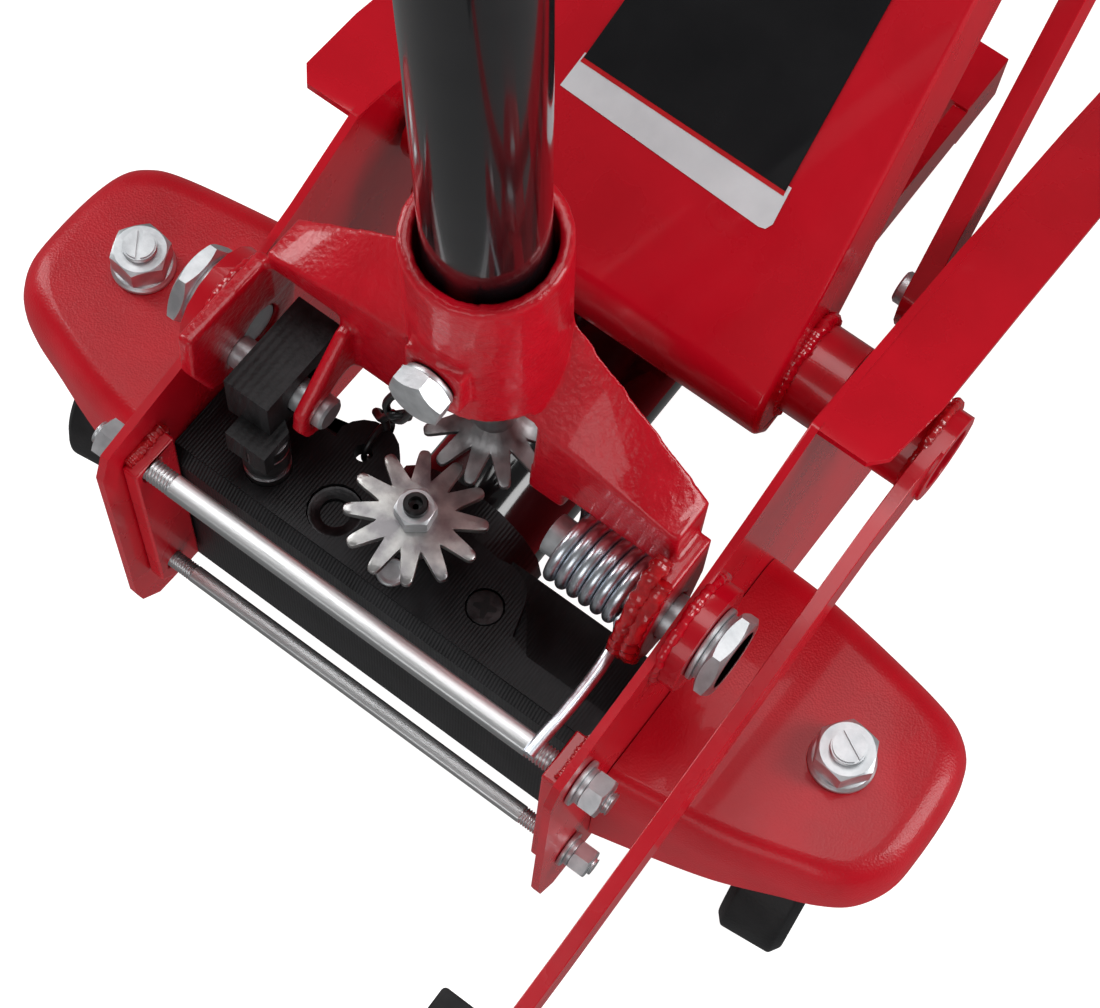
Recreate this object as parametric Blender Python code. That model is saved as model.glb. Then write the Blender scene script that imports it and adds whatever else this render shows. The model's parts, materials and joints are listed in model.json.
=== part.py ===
"""A hydraulic trolley jack with its lift arm part raised.

Lengths are in millimetres and measured from the middle of the upper tie rod: X to the saddle end,
Y to the left, Z up. TO_WORLD turns them into metres, with the floor at Z = 0.
"""

from math import cos, pi, radians, sin, sqrt

import bmesh
import bpy
from mathutils import Matrix, Vector

MM = 0.001
ORIGIN_X = 228.0
ROD_HEIGHT = 140.0
TO_WORLD = Matrix.Scale(MM, 4) @ Matrix.Translation((-ORIGIN_X, 0, ROD_HEIGHT))
FIT = 0.3

# Frame
PLATE_IN, PLATE_OUT = 86.5, 89.5
FLANGE_THICK = 3.0
LOWER_ROD_Z = -77.0
UPPER_ROD_R, LOWER_ROD_R = 4.0, 3.2
PAD_OUT, PAD_R = 97.0, 19.0
BLOCK_REAR, BLOCK_TOP, BLOCK_BOTTOM = 12.3, -15.0, -98.0

# Axes, as (x, z)
YOKE_AXIS = (55.0, 17.0)
YOKE_BOLT_R = 8.0
ARM_AXIS = (150.0, 20.0)
ARM_SHAFT_R = 11.0
FRONT_AXIS = (530.0, -104.0)
FRONT_AXLE_R = 8.0
CYLINDER_Z = -50.0

# Handle and gears
HANDLE_TILT = radians(4.1)
HANDLE_FOOT = Vector((75.0, 0.0, 17.0))
HANDLE_DIR = Vector((-sin(HANDLE_TILT), 0.0, cos(HANDLE_TILT)))
HANDLE_R, SOCKET_R, SOCKET_BORE_R = 18.0, 24.2, 20.0
SOCKET_LOW = 57.0
TEETH = 12
GEAR_TIP_R, GEAR_ROOT_R, GEAR_THICK = 23.0, 13.5, 2.5
VALVE_X = 34.0
RELEASE_PHASE = radians(0.0)

# Pump
PLUNGER = (28.7, 57.2)
PLUNGER_R = 8.0
PUMP_PIN = (44.0, 17.0)
PUMP_PIN_R = 5.75

# Lift arm, in its own frame: u along its top, v square to it, from the arm shaft
ARM_PITCH = radians(33.4)
ARM_LENGTH = 337.0
ARM_HALF, ARM_TAPER, ARM_WALL = 67.0, 0.1, 4.0
LUG_R = 50.0
LUG_ANGLE = radians(-103.4)
LUG = (LUG_R * cos(LUG_ANGLE), LUG_R * sin(LUG_ANGLE))
LINK_OFFSET = (54.0, -20.0)
SADDLE_X = 24.0

# Casters
STUD = (69.3, 148.0)
HOUSING_TOP = -42.5
CASTER_R, CASTER_HALF, CASTER_TRAIL = 28.0, 12.5, 21.0
CASTER_Z = CASTER_R - ROD_HEIGHT
CASTER_YAW = {1: radians(8.0), -1: radians(6.0)}
FRONT_WHEEL_R = 36.0

COLOURS = {
    "red_paint": (0.55, 0.008, 0.012, 0.0, 0.30),
    "black_paint": (0.010, 0.010, 0.011, 0.0, 0.28),
    "black_oxide": (0.018, 0.018, 0.020, 0.4, 0.50),
    "zinc": (0.62, 0.64, 0.66, 1.0, 0.28),
    "dark_steel": (0.24, 0.24, 0.25, 1.0, 0.36),
    "plastic": (0.012, 0.012, 0.013, 0.0, 0.55),
    "rubber": (0.020, 0.020, 0.021, 0.0, 0.80),
}
SIDES = {"left": 1, "right": -1}


def arm_point(u, v, y=0.0):
    """A point of the lift arm's frame, in the jack's."""
    x = ARM_AXIS[0] + u * cos(ARM_PITCH) - v * sin(ARM_PITCH)
    z = ARM_AXIS[1] + u * sin(ARM_PITCH) + v * cos(ARM_PITCH)
    return (x, y, z)


SADDLE_AXIS = arm_point(ARM_LENGTH, 0.0)[0], arm_point(ARM_LENGTH, 0.0)[2]


def arc(centre, radius, start, end, steps):
    """Points on an arc, its angles in degrees."""
    angles = [radians(start + (end - start) * i / steps) for i in range(steps + 1)]
    return [(centre[0] + radius * cos(a), centre[1] + radius * sin(a)) for a in angles]


def loft(rings, looped=False):
    """A closed mesh through rings of equally many points, capped unless the last ring meets the first."""
    bm = bmesh.new()
    loops = [[bm.verts.new(TO_WORLD @ Vector(point)) for point in ring] for ring in rings]
    pairs = list(zip(loops, loops[1:]))
    if looped:
        pairs.append((loops[-1], loops[0]))
    for one, other in pairs:
        for i in range(len(one)):
            j = (i + 1) % len(one)
            bm.faces.new((one[i], one[j], other[j], other[i]))
    if not looped:
        bm.faces.new(loops[0][::-1])
        bm.faces.new(loops[-1])
    bmesh.ops.triangulate(bm, faces=[f for f in bm.faces if len(f.verts) > 4])
    bmesh.ops.recalc_face_normals(bm, faces=bm.faces)
    mesh = bpy.data.meshes.new("shape")
    bm.to_mesh(mesh)
    bm.free()
    obj = bpy.data.objects.new("shape", mesh)
    bpy.context.scene.collection.objects.link(obj)
    return obj


def prism(outline, low, high, axis="Y"):
    """An outline drawn across an axis (X: y, z; Y: x, z; Z: x, y), from low to high along it."""
    place = {
        "X": lambda a, b, h: (h, a, b),
        "Y": lambda a, b, h: (a, h, b),
        "Z": lambda a, b, h: (a, b, h),
    }[axis]
    return loft([[place(a, b, h) for a, b in outline] for h in (low, high)])


def box(low, high):
    (x0, y0, z0), (x1, y1, z1) = low, high
    return prism([(x0, z0), (x1, z0), (x1, z1), (x0, z1)], y0, y1)


def turned(profile, centre, axis=(0, 0, 1), steps=16, phase=0.0, bored=False):
    """A shape turned about an axis, from (distance along it, radius) pairs."""
    turn = Vector((0, 0, 1)).rotation_difference(Vector(axis)).to_matrix()
    centre = Vector(centre)
    rings = []
    for along, radius in profile:
        ring = []
        for i in range(steps):
            angle = phase + 2 * pi * i / steps
            ring.append(centre + turn @ Vector((radius * cos(angle), radius * sin(angle), along)))
        rings.append(ring)
    return loft(rings, looped=bored)


def hexagon(across, low, high, centre, axis=(0, 0, 1), phase=0.0):
    return turned([(low, across / sqrt(3)), (high, across / sqrt(3))], centre, axis, 6, phase)


def rod(centre, axis, low, high, radius, steps=16):
    return turned([(low, radius), (high, radius)], centre, axis, steps)


def swept(path, radius, sides=6):
    """A round wire along a path."""
    points = [Vector(p) for p in path]
    rings = []
    normal = (points[1] - points[0]).orthogonal().normalized()
    for i, point in enumerate(points):
        ahead = points[min(i + 1, len(points) - 1)] - points[max(i - 1, 0)]
        ahead.normalize()
        normal = (normal - ahead * normal.dot(ahead)).normalized()
        across = ahead.cross(normal)
        angles = [2 * pi * k / sides for k in range(sides)]
        rings.append([point + radius * (normal * cos(a) + across * sin(a)) for a in angles])
    return loft(rings)


def combine(obj, tools, operation):
    """The Boolean of an object and its tools, applied. The EXACT solver loses the long thin side plates."""
    for tool in tools:
        modifier = obj.modifiers.new("combine", "BOOLEAN")
        modifier.operation = operation
        modifier.solver = "MANIFOLD"
        modifier.object = tool
        graph = bpy.context.evaluated_depsgraph_get()
        mesh = bpy.data.meshes.new_from_object(obj.evaluated_get(graph))
        obj.modifiers.clear()
        obj.data = mesh
        bpy.data.objects.remove(tool)
    return obj


def join(obj, *tools):
    return combine(obj, tools, "UNION")


def cut(obj, *tools):
    return combine(obj, tools, "DIFFERENCE")


def material(name, slot):
    red, green, blue, metallic, roughness = COLOURS[slot]
    made = bpy.data.materials.new(slot + "_" + name)
    made.use_nodes = True
    shader = made.node_tree.nodes["Principled BSDF"]
    shader.inputs["Base Color"].default_value = (red, green, blue, 1.0)
    shader.inputs["Metallic"].default_value = metallic
    shader.inputs["Roughness"].default_value = roughness
    return made


def part(name, slot, obj, pivot=None):
    """Names a finished shape, gives it its material and puts its origin on its joint's axis."""
    obj.name = name
    obj.data.name = name
    obj.data.materials.clear()
    obj.data.materials.append(material(name, slot))
    if pivot is not None:
        origin = TO_WORLD @ Vector(pivot)
        obj.data.transform(Matrix.Translation(-origin))
        obj.location = origin
    obj.data.shade_smooth()
    obj.data.set_sharp_from_angle(angle=radians(30))
    return obj


def y_hole(axis, radius, low=-200.0, high=200.0):
    return y_disc(axis, radius, low, high)


def y_disc(axis, radius, low, high, steps=16):
    return rod((axis[0], 0, axis[1]), (0, 1, 0), low, high, radius, steps)


# ---- frame ----

PLATE_OUTLINE = [
    (-15, 8), (-11, 18), (10, 22), (35, 26), (55, 32), (85, 43), (117, 58), (150, 50), (200, 37.5),
    (281, 13), (360, -18), (450, -52), (520, -74), (545, -84), (554, -104), (545, -122), (525, -128),
    (400, -127), (250, -120), (100, -115), (20, -112), (-5, -109), (-13, -100), (-15, -90),
]
FLANGE = [
    (116, 58.0, 107), (122, 57.5, 112), (150, 50, 114.5), (200, 37.5, 114.5), (281, 13, 114.5),
    (360, -18, 114.5), (450, -52, 112), (478, -60.8, 100),
]


def side_plate(name, side):
    plate = prism(PLATE_OUTLINE, PLATE_IN, PLATE_OUT)
    rings = []
    inner = PLATE_IN + 0.5
    for x, z, outer in FLANGE:
        top, bottom = z - 0.4, z - 0.4 - FLANGE_THICK
        rings.append([(x, inner, top), (x, outer, top), (x, outer, bottom), (x, inner, bottom)])
    join(plate, loft(rings), y_disc(YOKE_AXIS, PAD_R, PLATE_OUT - 0.5, PAD_OUT))
    cut(
        plate,
        y_hole((0, 0), UPPER_ROD_R + FIT),
        y_hole((0, LOWER_ROD_Z), LOWER_ROD_R + FIT),
        y_hole(YOKE_AXIS, YOKE_BOLT_R + FIT),
        y_hole(ARM_AXIS, ARM_SHAFT_R + FIT),
        y_hole(FRONT_AXIS, FRONT_AXLE_R + FIT),
    )
    if side < 0:
        cut(plate, y_hole((ARM_AXIS[0] + LINK_OFFSET[0], ARM_AXIS[1] + LINK_OFFSET[1]), 6.0 + FIT))
    part(name, "red_paint", mirrored(plate, side))


def mirrored(obj, side):
    """The object as drawn for the left side, or turned over to the right."""
    if side < 0:
        obj.data.transform(Matrix.Scale(-1, 4, (0, 1, 0)))
        obj.data.flip_normals()
    return obj


def frame():
    for word, side in SIDES.items():
        side_plate("side_plate_" + word, side)
        doubler = prism([(-7, 5), (11.5, 5), (11.5, -92), (1, -92), (-7, -84)], 80.0, PLATE_IN - FIT)
        cut(doubler, y_hole((0, 0), UPPER_ROD_R + FIT), y_hole((0, LOWER_ROD_Z), LOWER_ROD_R + FIT))
        part("end_doubler_" + word, "red_paint", mirrored(doubler, side))
        tie_nut("tie_nut_upper_" + word, side, 0.0, UPPER_ROD_R, 8.2, 13.0)
        tie_nut("tie_nut_lower_" + word, side, LOWER_ROD_Z, LOWER_ROD_R, 6.6, 10.0)
    part("tie_rod_upper", "zinc", y_disc((0, 0), UPPER_ROD_R, -102, 102, 12))
    part("tie_rod_lower", "zinc", y_disc((0, LOWER_ROD_Z), LOWER_ROD_R, -101, 101, 12))
    part("front_axle", "dark_steel", y_disc(FRONT_AXIS, FRONT_AXLE_R, -130, 130))
    part("arm_shaft", "dark_steel", y_disc(ARM_AXIS, ARM_SHAFT_R, -116, 97))
    ring = turned([(89.8, 15), (95.5, 15), (95.5, ARM_SHAFT_R + FIT), (89.8, ARM_SHAFT_R + FIT)],
                  (ARM_AXIS[0], 0, ARM_AXIS[1]), (0, 1, 0), bored=True)
    part("shaft_ring", "dark_steel", ring)


def tie_nut(name, side, z, rod_r, washer_r, across):
    """A flat washer, a spring washer and a hexagon nut on one end of a tie rod."""
    face = PLATE_OUT + FIT
    nut = y_disc((0, z), washer_r, face, face + 1.6)
    spring_washer = y_disc((0, z), washer_r * 0.78, face + 1.5, face + 3.6)
    hexagonal = hexagon(across, face + 3.5, face + 10.0, (0, 0, z), (0, 1, 0), radians(15))
    join(nut, spring_washer, hexagonal)
    cut(nut, y_hole((0, z), rod_r + FIT))
    part(name, "zinc", mirrored(nut, side))


def yoke_bolts():
    """Hexagon bolts with spring washers: the right one carries on as the arbor of the torsion spring."""
    for word, side in SIDES.items():
        bolt = y_disc(YOKE_AXIS, YOKE_BOLT_R, 80.1 if side > 0 else 74.0, 98.0)
        washer = y_disc(YOKE_AXIS, 13.0, PAD_OUT + FIT, 101.0)
        head = hexagon(27.0, 100.5, 106.6, (YOKE_AXIS[0], 0, YOKE_AXIS[1]), (0, 1, 0))
        join(bolt, washer, head)
        if side < 0:
            join(bolt, y_disc(YOKE_AXIS, 5.0, 37.0, 75.0, 16))
        part("yoke_bolt_" + word, "zinc", mirrored(bolt, side))
    sleeve = turned([(-72.5, 7.0), (-37.5, 7.0), (-37.5, 5.3), (-72.5, 5.3)],
                    (YOKE_AXIS[0], 0, YOKE_AXIS[1]), (0, 1, 0), 16, bored=True)
    part("spring_sleeve", "zinc", sleeve)


def torsion_spring():
    """Close coils on the yoke's axis, and a leg that ends over the upper tie rod."""
    coils, start, pitch, coil_r, wire_r, per_turn = 7, -41.5, 4.5, 11.2, 2.1, 10
    path = []
    for i in range(coils * per_turn + 1):
        angle = 2 * pi * i / per_turn
        x = YOKE_AXIS[0] + coil_r * cos(angle)
        z = YOKE_AXIS[1] - coil_r * sin(angle)
        path.append((x, start - pitch * i / per_turn, z))
    end_y = start - pitch * coils
    path = path[:-5]
    path += [(42, end_y + 1.5, 8), (30, end_y, 7), (12, end_y, 7.5), (-5, end_y + 1, 6.6)]
    part("torsion_spring", "zinc", swept(path, wire_r, 5))


# ---- casters ----

HOUSING_RIM = [
    (14, 90), (17, 112), (21, 135), (27, 155), (31, 168), (37, 178), (48, 184.5), (62, 186),
    (82, 185.5), (96, 182.5), (104, 176), (109, 165), (114, 140), (118, 112), (119, 90),
]
HOUSING_CROWN = [
    (22, 90), (26, 112), (31, 135), (37, 155), (40, 162), (44, 168), (52, 172.5), (64, 174),
    (79, 173.5), (90, 171), (95, 166), (98, 159), (102, 138), (106, 112), (107, 90),
]
HOUSING_RIM_Z, HOUSING_RIM_SLOPE = -98.0, 0.42
HOUSING_SKIN = 3.0


def housing_ring(share, height, plate_gap):
    """A ring of the housing, this share of the way from its rim to its crown. No height: the rim's own."""
    ring = []
    for (x0, y0), (x1, y1) in zip(HOUSING_RIM, HOUSING_CROWN):
        x = x0 + (x1 - x0) * share
        y = y0 + (y1 - y0) * share
        if y0 == HOUSING_RIM[0][1]:
            y = PLATE_OUT + plate_gap
        rim_z = HOUSING_RIM_Z + HOUSING_RIM_SLOPE * (y0 - HOUSING_RIM[0][1])
        ring.append((x, y, rim_z if height is None else height))
    return ring


def casters():
    for word, side in SIDES.items():
        inside = FIT + HOUSING_SKIN
        rings = [
            housing_ring(1.0, HOUSING_TOP, FIT),
            housing_ring(0.72, HOUSING_TOP - 1.2, FIT),
            housing_ring(0.4, HOUSING_TOP - 4.5, FIT),
            housing_ring(0.12, HOUSING_TOP - 11.0, FIT),
            housing_ring(0.0, None, FIT),
            housing_ring(0.28, None, inside),
            housing_ring(0.42, HOUSING_TOP - 12.5, inside),
            housing_ring(0.75, HOUSING_TOP - 6.5, inside),
            housing_ring(1.2, HOUSING_TOP - HOUSING_SKIN, inside),
        ]
        housing = loft(rings)
        cut(housing, rod((*STUD, 0), (0, 0, 1), -60, -30, 6.0 + FIT))
        part("caster_housing_" + word, "red_paint", mirrored(housing, side))
        caster(word, side)


def caster(word, side):
    stud_at = (STUD[0], side * STUD[1], 0.0)
    stud = turned([(-74, 9), (-68.3, 9), (-68.3, 6), (-61, 6), (-61, 17), (-45.9, 15), (-45.9, 6),
                   (-42.2, 6), (-42.2, 11.5), (-39, 10.5), (-39, 6), (-26.3, 6)], stud_at)
    join(stud, hexagon(19.0, -39.5, -30.0, stud_at, phase=radians(23)))
    part("caster_stud_" + word, "zinc", stud)

    yaw = CASTER_YAW[side]
    ahead = Vector((cos(yaw), sin(yaw), 0.0))
    axle_dir = Vector((-sin(yaw), cos(yaw), 0.0))
    axle_at = Vector((stud_at[0], stud_at[1], CASTER_Z)) - CASTER_TRAIL * ahead
    plate = [(-67.8, 19), (-64.5, 19), (-61.4, 16), (-61.4, 6.4), (-67.8, 6.4)]
    fork = turned(plate, stud_at, bored=True)
    leg = [(-17, -65), (17, -65), (12, -76), (-8, -110), (-10, -117), (-16, -120), (-22, -117)]
    leg.append((-24, -110))
    for sign in (-1, 1):
        rings = []
        for offset in (CASTER_HALF + 0.8, CASTER_HALF + 3.3):
            base = Vector((stud_at[0], stud_at[1], 0.0)) + axle_dir * sign * offset
            rings.append([base + ahead * u + Vector((0, 0, z)) for u, z in leg])
        join(fork, loft(rings))
    cut(fork, rod(axle_at, axle_dir, -30, 30, 4.3, 16))
    part("caster_fork_" + word, "zinc", fork, (stud_at[0], stud_at[1], CASTER_Z))
    axle = rod(axle_at, axle_dir, -19.0, 19.0, 4.0, 16)
    part("caster_axle_" + word, "zinc", axle, (stud_at[0], stud_at[1], CASTER_Z))
    half, radius = CASTER_HALF, CASTER_R
    tread = [(-half, 4.3), (-half, radius - 4), (3 - half, radius)]
    tread += [(-along, around) for along, around in reversed(tread)]
    wheel = turned(tread, axle_at, axle_dir, 24, bored=True)
    part("caster_wheel_" + word, "plastic", wheel, axle_at)


def front_wheels():
    for word, side in SIDES.items():
        centre = (FRONT_AXIS[0], 0, FRONT_AXIS[1])
        tread = [(91, 8.3), (91, FRONT_WHEEL_R - 3), (94, FRONT_WHEEL_R), (117, FRONT_WHEEL_R),
                 (120, FRONT_WHEEL_R - 3), (120, 8.3)]
        wheel = mirrored(turned(tread, centre, (0, 1, 0), 24, bored=True), side)
        part("front_wheel_" + word, "plastic", wheel, (FRONT_AXIS[0], side * 105.5, FRONT_AXIS[1]))
        nut = hexagon(24.0, 121.0, 127.5, centre, (0, 1, 0))
        cut(nut, y_hole(FRONT_AXIS, FRONT_AXLE_R + FIT))
        part("axle_nut_" + word, "zinc", mirrored(nut, side))


# ---- hydraulic unit ----


def pump_block():
    """The cast block across the frame, with a tab on the left and a lobe and a lower ledge on the right."""
    side = PLATE_IN - FIT
    top = [(BLOCK_REAR + 4, side), (50, side), (50, 46)]
    top += arc((51, 35), 12.0, 75, -75, 8)
    top += [(50, 23), (50, -4)]
    top += arc((36, -27), 13.0, 20, -60, 5)
    top += [(30, -42), (27, -50), (27, -side), (BLOCK_REAR + 4, -side)]
    block = prism(top, -23.0, BLOCK_TOP, "Z")
    body = [(BLOCK_REAR, side), (48, side), (48, -5), (56, -12), (56, -side), (BLOCK_REAR, -side)]
    edge = [(BLOCK_REAR, -26.0), (BLOCK_REAR, -19.5), (17.5, BLOCK_TOP), (20.0, -26.0)]
    web = [(BLOCK_REAR, side), (48, side), (48, -20), (46, -36), (27, -50), (27, -side)]
    web.append((BLOCK_REAR, -side))
    join(
        block,
        prism(body, BLOCK_BOTTOM, -32.0, "Z"),
        prism(web, -40.0, -22.0, "Z"),
        prism(edge, -side, side),
        rod((0, 0, CYLINDER_Z), (1, 0, 0), 40, 64, 30.0),
    )
    cut(
        block,
        rod((*PLUNGER, 0), (0, 0, 1), -80, 0, PLUNGER_R + FIT),
        rod((29.3, 29.7, 0), (0, 0, 1), -19, 0, 9.5),
        rod((VALVE_X, 0, 0), (0, 0, 1), -62, 0, 3.3, 16),
        rod((23.5, 2, 0), (0, 0, 1), -19, 0, 5.5, 16),
        rod((32.3, -29.2, 0), (0, 0, 1), -19, 0, 6.6),
        rod((51, 35, 0), (0, 0, 1), -60, 0, 3.2, 16),
    )
    part("pump_block", "black_oxide", block)
    part("block_plug", "zinc", rod((23.5, 2, 0), (0, 0, 1), -18.7, -14.4, 5.2, 16))
    part("block_screw", "black_oxide", rod((32.3, -29.2, 0), (0, 0, 1), -18.7, -15.3, 6.2))
    part("socket_plug", "black_oxide", rod((29.3, 29.7, 0), (0, 0, 1), -18.7, -16.2, 9.1))


def ram():
    axis = (1, 0, 0)
    centre = (0, 0, CYLINDER_Z)
    tube = turned([(64.3, 26), (250, 26), (250, 17), (110, 17), (110, 1)], centre, axis, 24)
    part("cylinder_tube", "black_paint", tube)
    collar = [(250.3, 27), (260, 27), (262, 25), (262, 12.4), (250.3, 12.4)]
    part("cylinder_gland", "zinc", turned(collar, centre, axis, 24, bored=True))
    part("ram_rod", "zinc", rod(centre, axis, 185, 311.7, 12.0))
    head = box((300, -47, -62), (328, 47, -38))
    lug_x = arm_point(*LUG)[0]
    slot = [(lug_x - 7.6, -38), (lug_x + 7.6, -38), (lug_x + 7.6, -13.5), (lug_x - 7.6, -13.5)]
    bar = [(lug_x - 14.5, -45), (lug_x + 18, -45), (lug_x + 44, -60), (320, -60), (320, -40),
           (lug_x + 42, -38), (lug_x + 15, -6.5), (lug_x - 14.5, -6.5)]
    for side in SIDES.values():
        low, high = sorted((side * 41.0, side * 47.0))
        join(head, prism(bar, low, high))
    cut(head, rod(centre, axis, 290, 312, 12.3), prism(slot, -60, 60))
    part("ram_crosshead", "red_paint", head)


def pump():
    """The plunger and the block that the yoke's pin presses on."""
    turn = turned([(-66, 8), (-11, 8), (-11, 7), (-8, 7), (-8, 8), (7.6, 8)], (*PLUNGER, 0))
    part("plunger", "dark_steel", turn)
    link = box((28.5, 54, 8.5), (66, 71.5, 30))
    collar = [(20.5, 50.0), (33, 50.0), (36.5, 55), (36.5, 66.0), (20.5, 66.0)]
    join(link, prism(collar, 0.0, 12.0, "Z"))
    slot = arc(PUMP_PIN, PUMP_PIN_R + 0.7, 90, 270, 10)
    slot += arc((PUMP_PIN[0] + 5.0, PUMP_PIN[1]), PUMP_PIN_R + 0.7, -90, 90, 10)
    cut(link, rod((*PLUNGER, 0), (0, 0, 1), -5, 7.9, PLUNGER_R + FIT), prism(slot, 40, 80))
    part("pump_link", "black_oxide", link)


# ---- yoke, handle and valve ----


def yoke():
    """The cast socket with its two wings, the pump's ears, the right lug and the boss of the set bolt."""
    socket = rod(HANDLE_FOOT, HANDLE_DIR, SOCKET_LOW, 133.9, SOCKET_R, 24)
    rear, front = 61.0, 84.0
    for side in SIDES.values():
        end = 79.2 if side > 0 else 77.0
        sections = [(10, 17, 68, 108), (40, 21, 64, 84), (end, 27, 56, 56)]
        rings = []
        for y, low, back, high in sections:
            ahead = front - 0.08 * y
            outline = [(rear, low), (ahead, low), (ahead, high), (rear, back)]
            rings.append([(x, side * y, z) for x, z in outline])
        join(socket, loft(rings))
    outer_ear = [(63, 51), (24, 52), (23, 31), (30, 10), (44, 3), (60, -1), (72, 8), (74, 28)]
    lug = [(73, 44), (50, 44), (39, 26), (37, 14), (44, 2), (56, -2), (68, 2), (74, 20)]
    inner_ear = [(74, 30), (60, 48), (57, 48), (34, 25), (33, 17), (36, 9), (44, 5), (52, 9), (62, 27)]
    join(
        socket,
        prism(outer_ear, 78.8, 84.5),
        prism(lug, -82.5, -75.0),
        prism(inner_ear, 44.3, 49.3),
        box((42, -10, 89), (54, 10, 109)),
    )
    cut(
        socket,
        rod(HANDLE_FOOT, HANDLE_DIR, SOCKET_LOW + 6.0, 140.0, SOCKET_BORE_R, 24),
        rod(HANDLE_FOOT, HANDLE_DIR, SOCKET_LOW - 7.0, SOCKET_LOW + 7.0, 7.5),
        rod(HANDLE_FOOT, HANDLE_DIR, -12.0, SOCKET_LOW - 7.0, 26.0, 24),
        y_hole(YOKE_AXIS, YOKE_BOLT_R + FIT),
        rod((PUMP_PIN[0], 0, PUMP_PIN[1]), (0, 1, 0), 40, 79.9, PUMP_PIN_R + FIT),
        rod((0, 0, 99), (1, 0, 0), 30, 60, 5.3, 16),
        box((40, -74.0, 10), (100, -36, 31.5)),
        box((40, 50.5, 10), (73, 78.0, 48)),
    )
    part("handle_socket", "red_paint", socket, (YOKE_AXIS[0], 0, YOKE_AXIS[1]))
    bolt = hexagon(17.0, 33.0, 39.6, (0, 0, 99), (1, 0, 0))
    join(
        bolt,
        rod((0, 0, 99), (1, 0, 0), 39.0, 41.6, 8.3),
        rod((0, 0, 99), (1, 0, 0), 40, 50.6, 5.0, 16),
    )
    part("set_bolt", "zinc", bolt, (YOKE_AXIS[0], 0, YOKE_AXIS[1]))
    pin = y_disc(PUMP_PIN, PUMP_PIN_R, 41.5, 79.6)
    part("pump_pin", "zinc", pin, (YOKE_AXIS[0], 0, YOKE_AXIS[1]))


def gear(centre, axis, phase, bore_r, dish=0.0):
    """A gear of finger-like teeth round a bore, its teeth sloping down towards their tips."""
    flank = [(GEAR_ROOT_R, -13), (21.6, -5.4), (GEAR_TIP_R, -2.4)]
    tooth = flank + [(radius, -degrees) for radius, degrees in reversed(flank)]
    turn = Vector((0, 0, 1)).rotation_difference(Vector(axis)).to_matrix()
    rings = []
    for inner, height in ((True, 0.0), (False, 0.0), (False, GEAR_THICK), (True, GEAR_THICK)):
        ring = []
        for k in range(TEETH):
            for radius, degrees in tooth:
                angle = phase + 2 * pi * k / TEETH + radians(degrees)
                reach = bore_r if inner else radius
                drop = dish * (reach - bore_r) / (GEAR_TIP_R - bore_r)
                at = Vector((reach * cos(angle), reach * sin(angle), height - drop))
                ring.append(Vector(centre) + turn @ at)
        rings.append(ring)
    return loft(rings, looped=True)


def gears():
    release = gear((VALVE_X, 0, 12.5), (0, 0, 1), RELEASE_PHASE, 3.3)
    part("release_gear", "zinc", release, (VALVE_X, 0, 0))
    steps = [(-60, 3), (8, 3), (8, 6), (12.2, 6), (12.2, 3), (15.8, 3), (15.8, 4.4), (25.5, 4.4)]
    stem = turned(steps, (VALVE_X, 0, 0))
    join(stem, hexagon(12.0, 15.3, 22.0, (VALVE_X, 0, 0)))
    part("release_valve", "zinc", stem, (VALVE_X, 0, 0))
    driver = gear(HANDLE_FOOT, HANDLE_DIR, RELEASE_PHASE + pi + pi / TEETH, 5.0, 3.5)
    hub = [(-1.0, 9.0), (1.5, 12.5), (20, 8.5), (40, 6.8), (SOCKET_LOW + 6.2, 6.8)]
    join(driver, turned(hub, HANDLE_FOOT, HANDLE_DIR, 16))
    part("handle_gear", "dark_steel", driver, HANDLE_FOOT)


def handle():
    foot = SOCKET_LOW + 6.7
    lower = [(foot, HANDLE_R), (520, HANDLE_R), (520, 15.7), (foot + 6, 15.7), (foot + 6, 1)]
    upper = [(430, 15.4), (950, 15.4), (950, 13.0), (430, 13.0)]
    grip = [(958, 16), (948, 19.5), (836, 19.5), (830, 18.5), (830, 15.7), (951, 15.7), (951, 1)]
    for name, slot, profile, bored in (
        ("handle_lower", "black_paint", lower, False),
        ("handle_upper", "black_paint", upper, True),
        ("handle_grip", "rubber", grip, False),
    ):
        tube = turned(profile, HANDLE_FOOT, HANDLE_DIR, 24, bored=bored)
        part(name, slot, tube, HANDLE_FOOT)


# ---- lift arm ----


def arm_ring(outline, side, inset=0.0):
    """An outline of the arm's side, on the tapering plane of that side."""
    return [arm_point(u, v, side * (ARM_HALF - ARM_TAPER * u - inset)) for u, v in outline]


def arm_rod(at, low, high, radius, steps=16):
    x, _, z = arm_point(*at)
    return y_disc((x, z), radius, low, high, steps)


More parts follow.
